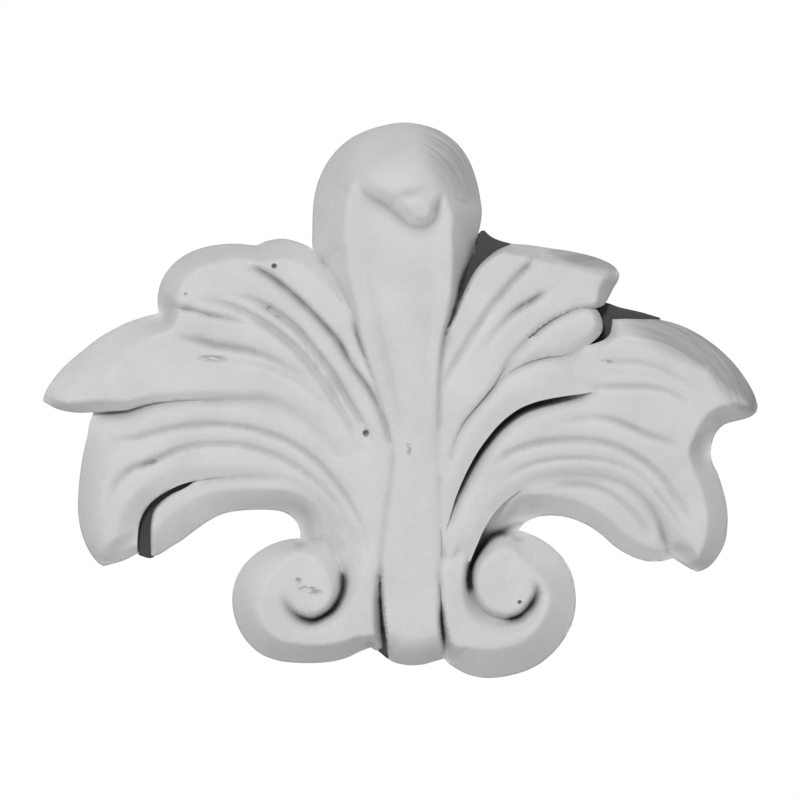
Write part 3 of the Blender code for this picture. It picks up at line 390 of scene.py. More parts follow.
def right_foot():
    """The lowest lobe on the right, the strand it grows from and the scroll."""
    return Leaf([
        (575, 485, 6.6), (620, 502, 6.4), (648, 535, 5.3), (542, 490, 7.2), (505, 510, 7.8),
        (470, 530, 9.8), (455, 560, 10.3), (455, 600, 10.4),
        (470, 640, 9.9), (510, 650, 9.3), (550, 610, 8.2), (545, 560, 7.8), (505, 583, 8.6),
        (450, 470, 10.5),
    ], [
        Edge([(673, 558), (660, 561), (648, 561), (636, 558), (624, 552.5), (613, 545), (603, 536),
              (593, 528.5), (582, 522.5), (570, 518), (556, 515.5), (542, 516), (530, 519.5),
              (522, 525), (518.5, 530)],
             [12, 13, 15, 16, 17, 17, 17, 18, 19, 20, 21, 23, 26, 22, 12], power=1.0),
        Edge([(518.5, 530), (530, 534), (543, 540.5), (555, 549.5), (565, 561), (572, 576), (575.5, 597),
              (573.5, 617), (566, 635), (553, 652), (535, 666), (512, 674.5), (488, 677.5), (468, 674),
              (452, 665.5), (444, 658.5)],
             [20, 26, 30, 31, 31, 31, 31, 30, 30, 30, 30, 31, 31, 30, 26, 20], power=1.1),
        Edge([(444, 658.5), (444, 645), (442, 620), (441.5, 600)], [14, 9, 5, 4], [2.5, 3, 6, 9.6]),
        Edge([(441.5, 600), (439, 575), (438.5, 540)], 8, [9.6, 9.9, 9.9]),
        Edge([(438.5, 540), (468, 534), (486, 512), (503, 491), (524, 478), (556, 469), (600, 467),
              (640, 482), (660, 504), (672, 532), (673, 558)], [30, 30, 12, 4, 2, 1, 1, 2, 10, 18, 20],
             [8.6, 8.6, 8, 7, 6, 5, 5, 4.5, 3.6, 2.6, 2.5]),
    ], [
        Groove([(548, 487), (570, 484.5), (590, 486), (607, 492), (622, 502), (635, 514), (645, 527),
                (652, 541)],
               [0, 0.5, 0.6, 0.6, 0.6, 0.5, 0.4, 0]),
        Groove([(518.5, 530), (505, 531.5), (491, 537), (480, 547.5), (472, 561), (469, 576), (470.5, 590),
                (475, 602), (483, 611), (494, 616.5), (507, 618), (520, 614), (530, 604), (536, 592),
                (535, 580)],
               [7, 6.8, 6.4, 5.8, 5.4, 5, 4.4, 3.8, 3.4, 3.2, 3.6, 3.9, 3.6, 2.2, 0.3],
               [44, 38, 28, 14, 6, 6, 8, 11, 14, 17, 18, 18, 16, 14, 8],
               [20, 20, 18, 15, 12, 10, 9, 9, 9, 8, 6, 6, 6, 6, 6], 1.6, 2),
    ])


def left_fan():
    """The lower leaf on the left."""
    return Leaf([
        (100, 470, 7.8), (112, 414, 3.6), (140, 412, 5.6), (185, 405, 7.1), (200, 450, 8.2),
        (130, 520, 7.8), (300, 430, 9.0), (345, 500, 10.2), (365, 545, 10.5),
    ], [
        Edge([(96, 408), (90, 423), (88, 435), (85, 448), (82, 464), (79.5, 485), (78.5, 508), (80.5, 526),
              (85, 541), (91, 553), (98, 562), (104, 566)],
             [12, 24, 30, 34, 36, 36, 36, 34, 30, 26, 20, 14], power=1.9),
        Edge([(104, 566), (115, 563), (127, 559), (138, 553)], [14, 22, 25, 22], power=1.1),
        Edge([(138, 553), (138.5, 535), (141, 520), (147, 508), (155, 499.5), (165, 492.5), (180, 485),
              (196, 480.5), (215, 478), (240, 477), (262, 478.5), (282, 484), (300, 493.5), (318, 505),
              (332, 519), (343, 537), (350, 556), (353, 575)],
             [22, 21, 20, 19, 18, 18, 17, 16, 14, 12, 11, 12, 15, 19, 24, 28, 30, 30],
             [4.6, 4.8, 5.0, 5.3, 5.7, 6.2, 6.8, 7.1, 7.3, 7.6, 7.8, 8.1, 8.2, 8.2, 8.1, 8.0, 8.0, 8.2]),
        Edge([(353, 575), (370, 565), (385, 500), (390, 450)], [25, 20, 10, 10], [9, 9.4, 9.9, 9.9]),
        Edge([(390, 450), (340, 425), (280, 396), (200, 390), (140, 396), (96, 408)], 1,
             [9, 8, 7, 6, 5, 4]),
    ], [
        Groove([(112, 438), (140, 436), (160, 431), (180, 427), (200, 425), (225, 425), (250, 428),
                (270, 434), (290, 442), (310, 455), (328, 472), (345, 495), (358, 520)],
               [0.3, 0.7, 0.95, 0.95, 0.95, 0.95, 0.95, 0.9, 0.9, 0.9, 0.9, 0.8, 0.7], 5, 9),
        Groove([(107, 520), (109, 505), (114, 490), (123, 477), (134, 468), (147, 463.5), (160, 458),
                (180, 449), (205, 444), (235, 444), (260, 449), (285, 459), (305, 472), (322, 487),
                (338, 507), (350, 530)],
               [0, 0.5, 0.8, 0.9, 1.1, 1.3, 1.1, 0.9, 0.8, 0.8, 0.8, 0.8, 0.8, 0.8, 0.7, 0.6], 6, 8),
    ])


def left_crown():
    """The upper and the middle leaf on the left."""
    return Leaf([
        (70, 385, 7.6), (130, 365, 8.6), (200, 370, 9.0), (200, 330, 9.3), (200, 285, 9.4), (270, 270, 9.8),
        (300, 400, 9.5), (340, 330, 10.4), (385, 440, 10.7), (370, 500, 10.5),
    ], [
        Edge([(43, 401), (48, 388), (58, 374), (70, 361.5), (84, 350), (98, 339), (113, 330), (128, 322.5),
              (143, 317.5), (159, 313)], [20, 36, 44, 44, 40, 36, 30, 26, 24, 22],
              power=[1.6, 1.5, 1.4, 1.2]),
        Edge([(159, 313), (158, 298), (162, 281), (172, 266), (186, 255), (203, 248), (222, 244.5),
              (240, 244), (256, 245.5), (268, 241), (284, 239), (300, 243), (313, 250), (323, 263),
              (334, 280), (343, 296), (350, 304), (355, 312)],
             [20, 22, 22, 22, 20, 20, 19, 20, 21, 22, 22, 21, 18, 13, 8, 6, 5],
             [2.5, 2.5, 2.5, 2.5, 2.5, 2.5, 2.5, 2.5, 2.5, 2.5, 2.5, 2.6, 3.4, 5.8, 7.6, 8.8, 9.2, 9.3]),
        Edge([(355, 312), (361, 338), (370.5, 363), (379, 388), (386, 410), (391.5, 430), (394.5, 447),
              (394, 470), (390, 500)], 7, [9.1, 9.4, 9.6, 9.7, 9.8, 9.9, 10, 10, 10]),
        Edge([(390, 500), (383, 528), (372, 535), (362, 515)], 14, 9.8),
        Edge([(362, 515), (357, 494), (352, 476), (344, 460), (333, 446), (318, 431), (300, 416),
              (282, 406.5), (262, 401), (230, 400), (195, 400.3), (175, 401), (155, 403), (140, 406.5),
              (128, 410), (110, 411.5), (90, 412.5), (75, 412.5), (58, 409), (43, 401)],
             [8, 8, 9, 9, 10, 10, 11, 10, 10, 9, 9, 9, 9, 9, 10, 12, 12, 12, 10, 8],
             [10.2, 10.1, 10, 9.8, 9.5, 9.2, 8.8, 8.3, 7.9, 7.6, 7.4, 7.2, 7.0, 6.6, 6.0, 5.0, 3.6, 2.8,
              2.5, 2.5], 1.05),
    ], [
        Groove([(228, 262), (250, 266.5), (265, 273), (280, 283), (300, 300), (320, 320), (340, 343),
                (352, 365), (370, 390), (382, 415), (390, 440)],
               [0.3, 1.2, 1.7, 1.7, 1.7, 1.7, 1.7, 1.5, 1.3, 1.1, 0.8], [14, 12, 12, 12, 11, 10, 9, 8], 4),
        Groove([(215, 297), (240, 298), (255, 301), (268, 308), (285, 319), (300, 332), (312, 347),
                (325, 363), (338, 382), (350, 403), (360, 420), (367, 434), (373, 455)],
               [0, 0.3, 0.6, 1.0, 1.1, 1.2, 1.2, 1.2, 1.2, 1.1, 1.0, 0.8, 0], 7, 5, 2, keen=False),
        Groove([(198, 302), (218, 303), (235, 308), (252, 316), (270, 327), (286, 339), (302, 354),
                (318, 374), (334, 398), (350, 422), (361, 440), (370, 460)],
               [0.2, 0.5, 0.8, 0.9, 1, 1.1, 1.1, 1.1, 1, 0.9, 0.6, 0], 8, 5, 2, keen=False),
        Groove([(170, 308.5), (185, 309.5), (197, 311.5), (212, 316), (228, 319), (243, 323), (257, 329.5)],
               [1.6, 1.5, 0.9, 1.0, 0.9, 0.7, 0], 4, 6),
        Groove([(183, 338.5), (200, 341), (218, 346), (238, 349), (257, 353.5), (275, 361), (295, 373),
                (312, 386), (330, 403), (342, 420)], [0.4, 1.0, 1.3, 1.2, 1.0, 0.8, 0.6, 0.5, 0.3, 0],
                10, 8),
        Groove([(225, 363), (250, 363), (268, 367), (285, 374), (303, 385), (320, 398), (336, 414),
                (352, 440)],
               [0, 0.4, 0.6, 0.6, 0.55, 0.5, 0.3, 0], 6, 4),
    ])


def right_fan():
    """The outer part of the middle leaf on the right, and the lower leaf."""
    return Leaf([
        (640, 350, 9.1), (700, 390, 9.5), (740, 402, 8.8), (660, 400, 8.8), (690, 500, 8.2),
        (600, 430, 8.6), (560, 465, 8.3), (520, 450, 8.4), (640, 480, 8.2), (470, 520, 9.9),
        (455, 560, 10.3), (590, 345, 8.2),
    ], [
        Edge([(612, 319.5), (625, 319), (640, 319.3), (660, 320), (680, 325.5), (700, 335.5), (718, 348.5),
              (733, 363), (745, 379), (753, 393), (757, 405)], [20, 18, 20, 23, 25, 26, 26, 24, 20, 14, 8],
             [4, 4, 3, 2.5, 2.5, 2.5, 2.5, 2.5, 2.5, 2.5, 2.5], 1.0),
        Edge([(757, 405), (756, 411), (751, 416), (742, 419.5), (733, 421.5), (723, 425), (716, 432),
              (712, 441), (710, 452)], [8, 11, 14, 17, 19, 20, 20, 21, 22], power=1.1),
        Edge([(710, 452), (712, 463), (717, 473), (721, 485), (725, 500), (727, 515), (726.5, 530),
              (724, 543), (718, 555), (710, 565), (702, 570), (696, 571.5)],
             [24, 22, 22, 22, 22, 22, 22, 22, 20, 18, 14, 12], power=1.1),
        Edge([(696, 571.5), (688, 567.5), (680, 562.5), (673, 558)], [12, 16, 18, 18], 2.6),
        Edge([(673, 558), (667, 548), (662, 536), (655, 522), (648, 510), (640, 500), (628, 490),
              (612, 482.5), (595, 478.5), (575, 477.5), (555, 479), (537, 483), (522, 489), (508, 498),
              (495, 511), (485, 526), (478, 541), (470, 560)],
             [24, 22, 21, 20, 19, 18, 17, 17, 17, 17, 16, 15, 14, 13, 12, 10, 9, 8],
             [3.0, 3.7, 4.2, 4.7, 5.2, 5.6, 5.9, 6.1, 6.2, 6.3, 6.5, 6.9, 7.4, 8.0, 8.5, 9.0, 9.4, 9.7],
             1.15),
        Edge([(470, 560), (456, 572), (438, 572), (438.5, 500), (440, 460)], [26, 30, 24, 7, 7],
             [8.6, 8.6, 8.6, 10, 10]),
        Edge([(440, 460), (480, 400), (540, 362), (585, 346)], 1, 6),
        Edge([(585, 346), (600, 341.5), (608, 336), (611, 328), (612, 319.5)], 7, [7.6, 6.6, 5, 4, 3]),
    ], [
        Groove([(592, 393), (580, 396), (565, 398), (550, 400.5), (535, 404), (520, 410), (508, 418),
                (497, 428), (487, 440), (477, 454), (468, 470), (461, 485), (455, 500), (450, 517),
                (446, 532)],
               [0.6, 1.6, 2.6, 3.4, 3.8, 4, 4, 3.9, 3.7, 3.4, 3.1, 2.6, 1.8, 0.9, 0], 18, 18, 2.2),
        Groove([(618, 344), (640, 346), (662, 352), (684, 362), (704, 376)], [0, 0.2, 0.25, 0.15, 0], 4, 4),
        Groove([(580, 373), (610, 374), (640, 375), (664, 380), (684, 390)], [0, 0.15, 0.2, 0.2, 0], 4, 4),
        Groove([(590, 358), (612, 362), (640, 364), (662, 371), (685, 384), (703, 398)],
               [0, 0.4, 0.45, 0.4, 0.3, 0], 5, 5),
        Groove([(570, 386), (600, 387), (630, 387), (655, 389), (675, 396), (690, 408)],
               [0, 0.55, 0.6, 0.55, 0.4, 0], 5, 5),
        Groove([(545, 424), (570, 420), (595, 418), (615, 421), (632, 428), (650, 436), (668, 442),
                (680, 450)],
               [0, 0.4, 0.6, 0.8, 0.9, 0.8, 0.5, 0], 6, 7),
        Groove([(490, 470), (505, 455), (525, 446), (545, 441.5), (575, 440), (600, 442), (620, 448),
                (640, 459), (658, 474), (672, 492), (684, 512), (693, 532)],
               [0, 0.7, 0.9, 0.9, 0.8, 0.8, 0.9, 0.9, 0.8, 0.7, 0.5, 0], 7, 7),
        Groove([(500, 484), (520, 469), (545, 461), (580, 459), (610, 463), (635, 474), (652, 489),
                (666, 507), (680, 528), (690, 545)], [0, 0.6, 0.8, 0.8, 0.7, 0.7, 0.7, 0.6, 0.5, 0]),
    ])


def right_strand():
    """The inner strand of the middle leaf on the right, raised above the lower leaf."""
    return Leaf([
        (575, 380, 8.9), (530, 385, 9.9), (480, 425, 10.4), (450, 480, 10.6), (446, 545, 9.9),
        (560, 350, 8.8),
    ], [
        Edge(STRAND_LOW, [10, 13, 15, 16, 17, 18, 18, 17, 16, 14, 12, 10, 8, 7, 6, 5],
             [8.6, 8.8, 9, 9.1, 9.2, 9.3, 9.4, 9.5, 9.6, 9.7, 9.8, 9.9, 10, 10.1, 10.3, 10.3], 1.6),
        Edge([(443, 548), (438.5, 500), (438, 450), (450, 400)], 7, 10),
        Edge([(450, 400), (500, 350), (560, 330), (590, 335)], 1, 8),
        Edge([(590, 335), (578, 350), (574, 364), (580, 380), (592, 392)], 34,
             [7.6, 7.7, 7.7, 7.8, 8.2], 1.5),
    ], [
        Groove(UNDER_LOW[4:], [0.2, 0.5, 0.8, 1, 1.1, 1.2, 1.2, 1.1, 1.2, 1.2, 1, 0.8, 0.5, 0.3, 0], 12,
               14),
    ])


def right_under():
    """The short lobe that shows under the upper leaf on the right."""
    return Leaf([(580, 325, 9.3), (540, 345, 9.7), (500, 372, 10.1), (455, 440, 10.6)], [
        Edge(UNDER_LOW, [8, 8, 8, 9, 11, 12, 12, 12, 11, 10, 9, 8, 7, 7, 6, 6, 6, 6, 6],
             [5.5, 5.5, 5.5, 5.8, 6.5, 7.4, 8, 8.3, 8.5, 8.8, 9, 9.2, 9.4, 9.5, 9.7, 9.9, 10.1, 10.3,
              10.3], 1.5),
        Edge([(447, 480), (438, 470), (438, 430), (470, 380), (530, 310), (580, 300)], 1, 9.6),
    ], [
        Groove(CROWN_LOW[1:], [0.8, 1, 1.1, 1.2, 1.3, 1.3, 1.2, 1, 0.7, 0.5, 0.3, 0.2, 0.1, 0], 12, 12),
    ])


def right_crown():
    """The upper leaf on the right."""
    return Leaf([
        (500, 262, 9.2), (560, 285, 9.4), (600, 290, 9.0), (520, 310, 10.0), (470, 330, 10.4),
        (450, 400, 10.8),
    ], [
        Edge([(512, 244), (530, 245.5), (550, 248.5), (570, 251.5), (590, 256), (603, 260.5), (613, 266),
              (619, 273)], [12, 14, 16, 17, 18, 18, 16, 12], power=1.1),
        Edge([(619, 273), (618, 280), (613, 288.5), (608.5, 297), (604, 305)], [12, 14, 15, 14, 10],
             [2.5, 2.5, 2.6, 3.2, 5]),
        Edge(CROWN_LOW, 5, [5, 6.5, 7.6, 8.3, 8.8, 9.1, 9.3, 9.6, 9.8, 9.9, 10.1, 10.2, 10.3, 10.4,
                            10.5], 1.5),
        Edge([(449, 465), (440, 460), (437.5, 430), (437.5, 375), (441, 343)], 7, 10),
        Edge([(441, 343), (445, 332), (453, 318), (459, 303), (466, 287), (475, 271), (485, 260),
              (497, 250.5), (512, 244)], [3, 3, 3.5, 4, 4, 4, 5, 6, 8],
              [9.5, 8.6, 8, 7.5, 7, 6.6, 5.5, 4, 2.6], 1.5),
    ], [
        Groove([(541, 252), (536, 258), (530, 264), (520, 273), (510, 284), (498, 298), (486, 313),
                (475, 330), (464, 348), (454, 364), (447, 377), (442, 392)],
               [0.8, 1.6, 1.4, 1.1, 1, 0.9, 0.8, 0.8, 0.7, 0.6, 0.4, 0], 5, 9),
        Groove([(556, 288), (547, 291.5), (538, 296.5), (529, 302), (519, 308), (508, 317), (498, 328),
                (488, 341), (478, 357)], [0, 0.3, 1.1, 1.4, 1.2, 0.9, 0.6, 0.4, 0], 4, 8),
    ])


def stem():
    """The fluted stem, from under the boss down to the foot."""
    return Leaf([
        (400, 240, 13.6), (350, 240, 13.6), (440, 240, 13.6), (403, 320, 12.9), (408, 400, 11.6),
        (412, 480, 10.9), (411, 560, 10.8), (411, 620, 10.8),
    ], [
        Edge([(389, 659), (396, 662.5), (408, 664.7), (422, 664.2), (434, 661), (443.5, 658.3)], 32,
             2.5, 2),
        Edge([(443.5, 658.3), (444, 645), (442, 620), (441.5, 600), (441, 560), (441.3, 500), (440.5, 440),
              (440, 400), (441, 370), (444.5, 343), (451, 320), (458, 298), (463, 282), (470, 262),
              (475.5, 243), (480, 226), (481.5, 212), (479, 197), (476.5, 183)],
             [5, 5, 5, 5, 8, 10, 10, 8, 6, 6, 6, 9, 13, 20, 27, 31, 34, 36, 36],
             [2.6, 3, 5, 8.6, 10, 10.05, 10.1, 10.1, 10.1, 9.7, 8, 6.5, 5, 4, 3, 2.6, 2.5, 2.5, 2.5], 1.2,
             [10.9, 10.9, 10.9, 10.9, 10.9, 11, 11.2, 11.6, 12.1, 12.7, 13.1, 13.3, 13.4, 13.5, 13.7,
              13.9, 14.1,
              14.1, 14.1]),
        Edge([(476.5, 183), (450, 173), (400, 169), (350, 173), (318, 186)], 14, [2.5, 8, 9, 8, 2.5]),
        Edge([(318, 186), (314.5, 198), (313, 210), (312.5, 230)] + STEM_LEFT,
             [36, 36, 36, 35.5, 35, 33, 27, 20, 14, 10, 7, 6, 6, 6, 6, 6, 8, 10, 10, 8, 5, 4, 4, 4, 4],
             [2.5, 2.5, 2.5, 2.5, 3.0, 4.6, 6.6, 8, 9, 9.5, 9.8, 9.9, 10, 10, 10.05, 10.1, 10.1, 10.1, 10.1,
              10, 8.6, 5.5, 4, 3, 2.6], 1.2,
             [14, 14, 14, 13.9, 13.8, 13.7, 13.6, 13.5, 13.2, 12.9, 12.6, 12.2, 11.9, 11.6, 11.4, 11.2,
              11.1, 11, 10.9, 10.9,
              10.9, 10.9, 10.9, 10.9, 10.9]),
    ], [
        Groove([(362, 215), (363, 250), (367, 280), (371, 305), (376, 335), (382, 360), (388, 385),
                (393, 412), (397, 440), (400, 470)], [0, 0.1, 0.3, 0.6, 0.8, 0.9, 0.8, 0.6, 0.3, 0],
               [20, 22, 24, 24, 22, 18, 16, 14, 12], [12, 13, 14, 16, 16, 15, 14, 12, 10], 2, keen=False),
        Groove([(428, 240), (428, 300), (431, 350), (434, 400), (436, 440)], [0.2, 0.4, 0.5, 0.4, 0.1],
               24, 12, 2,
               keen=False),
    ])


def boss():
    """The round boss at the head of the stem, where the tip of the middle leaf folds over."""
    return Leaf([
        (405, 190, 17.0), (370, 180, 16.8), (440, 180, 16.8), (400, 150, 16.9), (418, 214, 16.3),
        (360, 205, 15.5),
    ], [
        Edge([(482, 212), (479.5, 195), (476, 180), (470, 163), (461, 148.5), (450, 138), (437, 130),
              (420, 124.8), (403, 123), (385, 125.5), (368, 130.5), (353, 137.5), (340, 147.5),
              (329, 160.5), (321, 175), (316, 190), (313, 208)], [56, 64, 70, 72, 72, 72, 70, 64, 56], RIM,
             [1.7, 2, 2.1, 2.2, 2.2, 2.2, 2.1, 2, 1.7]),
        Edge([(313, 208), (325, 204), (337, 199), (347, 196), (357, 198.5), (369, 204.5), (381, 211),
              (391, 217.5), (400, 225), (409, 230.5), (420, 231.5), (430, 228), (437, 221), (439.5, 212),
              (444, 206), (455, 205), (467, 207), (482, 212)],
             [10, 12, 14, 16, 18, 20, 20, 19, 18, 16, 14, 12, 11, 11, 12, 14, 12, 10],
             [2.5, 6.7, 10.6, 12.8, 12.9, 12.9, 12.9, 12.9, 13, 13.1, 13.1, 13.2, 13.3, 13.2, 12.6,
              10.4, 6.8, 2.5],
             1.3),
    ], [
        Groove([(394, 212), (399, 204), (408, 198.5), (419, 196.5), (429, 198), (436, 203)],
               [0, 0.4, 0.7, 0.7, 0.5, 0], 7, 8, 2, keen=False),
    ])


def carving():
    """Every leaf of the onlay, from the lowest layer to the highest."""
    return ledges() + [
        left_foot(), right_foot(), left_fan(), left_crown(), right_fan(), right_strand(), right_under(),
        right_crown(), stem(), boss(),
    ]




def sampled(curve, spacing):
    """Points about spacing apart along a curve."""
    along = np.append(0, np.cumsum(np.hypot(*np.diff(curve, axis=0).T)))
    stations = np.linspace(0, along[-1], max(2, round(along[-1] / spacing) + 1))
    return np.stack([np.interp(stations, along, axis) for axis in curve.T], axis=1)


def into_leaf(leaf, points):
    """Unit directions across a stretch of the outline, pointing into the leaf."""
    run = np.gradient(points, axis=0)
    across = np.stack([-run[:, 1], run[:, 0]], axis=1) / np.linalg.norm(run, axis=1)[:, None]
    return across if within(*(points + across).T, leaf.loop).mean() > 0.5 else -across


def runs(kept):
    """The unbroken stretches, of at least two places, where kept is true."""
    ends = np.flatnonzero(np.diff(np.concatenate([[0], kept.astype(int), [0]])))
    return [slice(a, b) for a, b in zip(ends[::2], ends[1::2]) if b - a > 1]


def guide_lines(leaves):
    """The lines that the mesh follows: the outline, the steps between leaves and the grooves.

    A step has two lines, at its head and at its foot.
    """
    stretches = []
    for number, leaf in enumerate(leaves):
        for edge in leaf.edges:
            points = sampled(edge.curve, LINE_SPACING)
            stretches.append((number, points, into_leaf(leaf, points) * STEP_HALF_WIDTH))
        for groove in leaf.grooves:
            points = sampled(groove.curve, LINE_SPACING)
            for shift in (-GROOVE_SHOULDER, 0, GROOVE_SHOULDER):
                beside = points + shift * into_leaf(leaf, points)
                stretches.append((number, beside, np.zeros(points.shape)))
    places = np.vstack([points for _, points, _ in stretches])
    offsets = np.vstack([offset for _, _, offset in stretches])
    upper, owners = surface(leaves, *(places + offsets).T)
    lower, _ = surface(leaves, *(places - offsets).T)
    lines, start = [], 0
    for number, points, offset in stretches:
        span = slice(start, start + len(points))
        start = span.stop
        seen = owners[span] == number
        stepped = seen & (lower[span] > 0) & (upper[span] - lower[span] > LEAST_STEP)
        flush = seen & ~stepped
        beside = np.convolve(flush, [1, 1, 1], "same") > 0
        lines += [points[run] for run in runs(seen & beside)]
        for run in runs(stepped):
            lines += [(points + HEAD_SHARE * offset)[run], (points - FOOT_SHARE * offset)[run]]
    return lines


def fill_points(leaves, lines):
    """A close triangular pattern of points, clear of the guide lines, with rings in each pit."""
    rows = np.arange(0, GRID_HEIGHT + FILL_SPACING, FILL_SPACING * ROW_SHARE)
    columns = np.arange(0, GRID_WIDTH + FILL_SPACING, FILL_SPACING)
    rows = rows + GRID_CENTRE - GRID_HEIGHT / 2
    columns = columns + GRID_CENTRE - GRID_WIDTH / 2
    points = np.array([(x + FILL_SPACING / 2 * (i % 2), y) for i, y in enumerate(rows) for x in columns])
    points = points[gaps(points, np.vstack(lines)) > CLEARANCE]
    turns = np.arange(RING_CORNERS) * np.pi / (RING_CORNERS / 2)
    for x, y, radius, _ in PITS:
        points = points[np.hypot(*(points - (x, y)).T) > PIT_CLEARANCE * radius]
        for ring in (share * radius for share in PIT_RINGS):
            points = np.vstack([points, [(x + ring * np.cos(a), y + ring * np.sin(a)) for a in turns]])
    return points[surface(leaves, *points.T)[0] > 0]


def gaps(points, others):
    """How far each point is from the nearest of some others."""
    tree = KDTree(len(others))
    for i, other in enumerate(others):
        tree.insert((*other, 0), i)
    tree.balance()
    return np.array([tree.find((*point, 0))[2] for point in points])


def sides_of(triangles):
    """The sides of the triangles, each once, and the corners that are on the outline."""
    sides = np.vstack([triangles[:, [0, 1]], triangles[:, [1, 2]], triangles[:, [2, 0]]])
    sides, uses = np.unique(np.sort(sides, axis=1), axis=0, return_counts=True)
    return sides, np.unique(sides[uses == 1])


def all_round(leaves, corners, reach):
    """The surface in eight directions round each corner, as far away as reach."""
    for turn in np.arange(8) * np.pi / 4:
        yield surface(leaves, *(corners + reach * np.array([np.cos(turn), np.sin(turn)])).T)


def heights(leaves, corners, triangles):
    """The height of each corner. On the rim it is taken from just inside the outline."""
    height, _ = surface(leaves, *corners.T)
    for x, y, radius, depth in PITS:
        height -= depth * np.clip(1 - (np.hypot(*(corners - (x, y)).T) / radius) ** 4, 0, 1)
    _, rim = sides_of(triangles)
    for beside, _ in all_round(leaves, corners[rim], INSIDE_RIM):
        height[rim] = np.maximum(height[rim], beside)
    return np.maximum(height, THINNEST)


def close_sheet(leaves):
    """Corners on the grid, their heights, and close triangles between them over the whole work."""
    lines = guide_lines(leaves)
    points, edges = [], []
    for line in lines:
        edges += [(len(points) + i, len(points) + i + 1) for i in range(len(line) - 1)]
        points += [Vector(point) for point in line]
    points += [Vector(point) for point in fill_points(leaves, lines)]
    corners, _, triangles, *_ = delaunay_2d_cdt(points, edges, [], 0, LEAST_GAP)
    corners, triangles = np.array(corners), np.array(triangles)
    triangles = triangles[surface(leaves, *corners[triangles].mean(axis=1).T)[0] > 0]
    used, triangles = np.unique(triangles, return_inverse=True)
    corners, triangles = corners[used], triangles.reshape(-1, 3)
    return corners, softened(corners, heights(leaves, corners, triangles), triangles), triangles


def patches(corners, places):
    """How far in each corner is in some oval places, from 0 outside them to 1 at a middle."""
    x, y = corners.T
    found = np.zeros(len(x))
    for middle_x, middle_y, half_width, half_height, turn in places:
        cos, sin = np.cos(np.radians(turn)), np.sin(np.radians(turn))
        along = ((x - middle_x) * cos + (y - middle_y) * sin) / half_width
        across = ((y - middle_y) * cos - (x - middle_x) * sin) / half_height
        found = np.maximum(found, np.clip(1 - along**2 - across**2, 0, 1))
    return found


def softened(corners, tops, triangles):
    """The heights with small ripples smoothed out. Steps and the rim stay as they are."""
    sides, rim = sides_of(triangles)
    ends, others = np.vstack([sides, sides[:, ::-1]]).T
    soft = tops.copy()
    for _ in range(SOFTENINGS):
        near = np.exp(-((soft[ends] - soft[others]) / RIPPLE) ** 2)
        pull = np.bincount(ends, near * (soft[others] - soft[ends]), len(soft))
        soft += pull / (OWN_WEIGHT + np.bincount(ends, near, len(soft)))
        soft[rim] = tops[rim]
    beds = [(x, y, PIT_REACH * radius, PIT_REACH * radius, 0) for x, y, radius, _ in PITS]
    return np.where(patches(corners, beds) > 0, tops, soft)


def painted_shade(leaves, corners, tops, triangles):
    """How much painted shade each corner gets, from 0 to 1: more the deeper it sits in a groove, at the foot
    of a step or on low ground.
    """
    sides, rim = sides_of(triangles)
    ends, others = np.vstack([sides, sides[:, ::-1]]).T
    weight = 1 / np.maximum(np.hypot(*(corners[ends] - corners[others]).T), LEAST_SIDE)
    total = np.bincount(ends, weight, len(corners))
    around = tops.copy()
    for _ in range(PAINTED_SHADE_REACH):
        around = np.bincount(ends, weight * around[others], len(corners)) / total
        around[rim] = tops[rim]
    hollow = around - tops
    deeper = (hollow - FLUTE_HOLLOW) / (DEEPEST_HOLLOW - FLUTE_HOLLOW)
    depth = FLUTE_SHARE * np.clip(hollow / FLUTE_HOLLOW, 0, 1)
    depth += (1 - FLUTE_SHARE) * np.clip(deeper, 0, 1)
    depth *= np.clip(gaps(corners, corners[rim]) / RIM_MARGIN, RIM_SHARE, 1)
    depth *= 1 - LIT_SHARE * np.clip(LIT_STRENGTH * patches(corners, LIT_PLACES), 0, 1)
    owner = surface(leaves, *corners.T)[1]
    for _, beside in all_round(leaves, corners[rim], BESIDE_RIM):
        owner[rim] = np.maximum(owner[rim], beside)
    low = (owner >= 0) & (owner < LOW_GROUND) & (tops < LOW_GROUND_TOP)
    return np.maximum(depth, low * np.clip((LOW_GROUND_TOP - tops) / LOW_GROUND_FADE, 0, 1))


def carved_casting():
    """The whole casting as one closed mesh, its flat back at y = 0 and its face towards -y."""
    leaves = carving()
    corners, tops, triangles = close_sheet(leaves)
    bm = bmesh.new()
    # Marks on each corner: painted shade, streaky primer with painted shade, and scuffs
    marks = {
        "painted_shade": painted_shade(leaves, corners, tops, triangles),
        "boss_streaks_and_shade": patches(corners, BOSS_STREAKS_AND_SHADE),
        "wing_streaks_and_shade": np.clip(WING_STREAKS_AND_SHADE_STRENGTH * patches(corners, WING_STREAKS_AND_SHADE), 0, 1),
        "scuff": patches(corners, SCUFFS),
    }
    layers = {name: bm.verts.layers.float.new(name) for name in marks}
    sheet = []
    for i, ((x, y), top) in enumerate(zip(corners, tops)):
        place = (x - GRID_CENTRE) * STEP, -top / DRAWN_BOSS * BOSS, (GRID_CENTRE - y) * STEP
        sheet.append(bm.verts.new(place))
        for name, layer in layers.items():
            sheet[-1][layer] = marks[name][i]
    for triangle in triangles:
        bm.faces.new([sheet[i] for i in triangle])
    rim = [edge for edge in bm.edges if edge.is_boundary]
    bmesh.ops.extrude_edge_only(bm, edges=rim)
    foot = [edge for edge in bm.edges if edge.is_boundary]
    for vert in {vert for edge in foot for vert in edge.verts}:
        vert.co.y = 0
        for layer in layers.values():
            vert[layer] = 0
    bmesh.ops.contextual_create(bm, geom=foot)
    bmesh.ops.recalc_face_normals(bm, faces=bm.faces)
    for face in bm.faces:
        face.smooth = face.normal.y < FLAT_BACK
    mesh = bpy.data.meshes.new("carved_casting")
    bm.to_mesh(mesh)
    bm.free()
    mesh.set_sharp_from_angle(angle=np.radians(SHARP_ANGLE))
    casting = bpy.data.objects.new("carved_casting", mesh)
    bpy.context.scene.collection.objects.link(casting)
    return casting


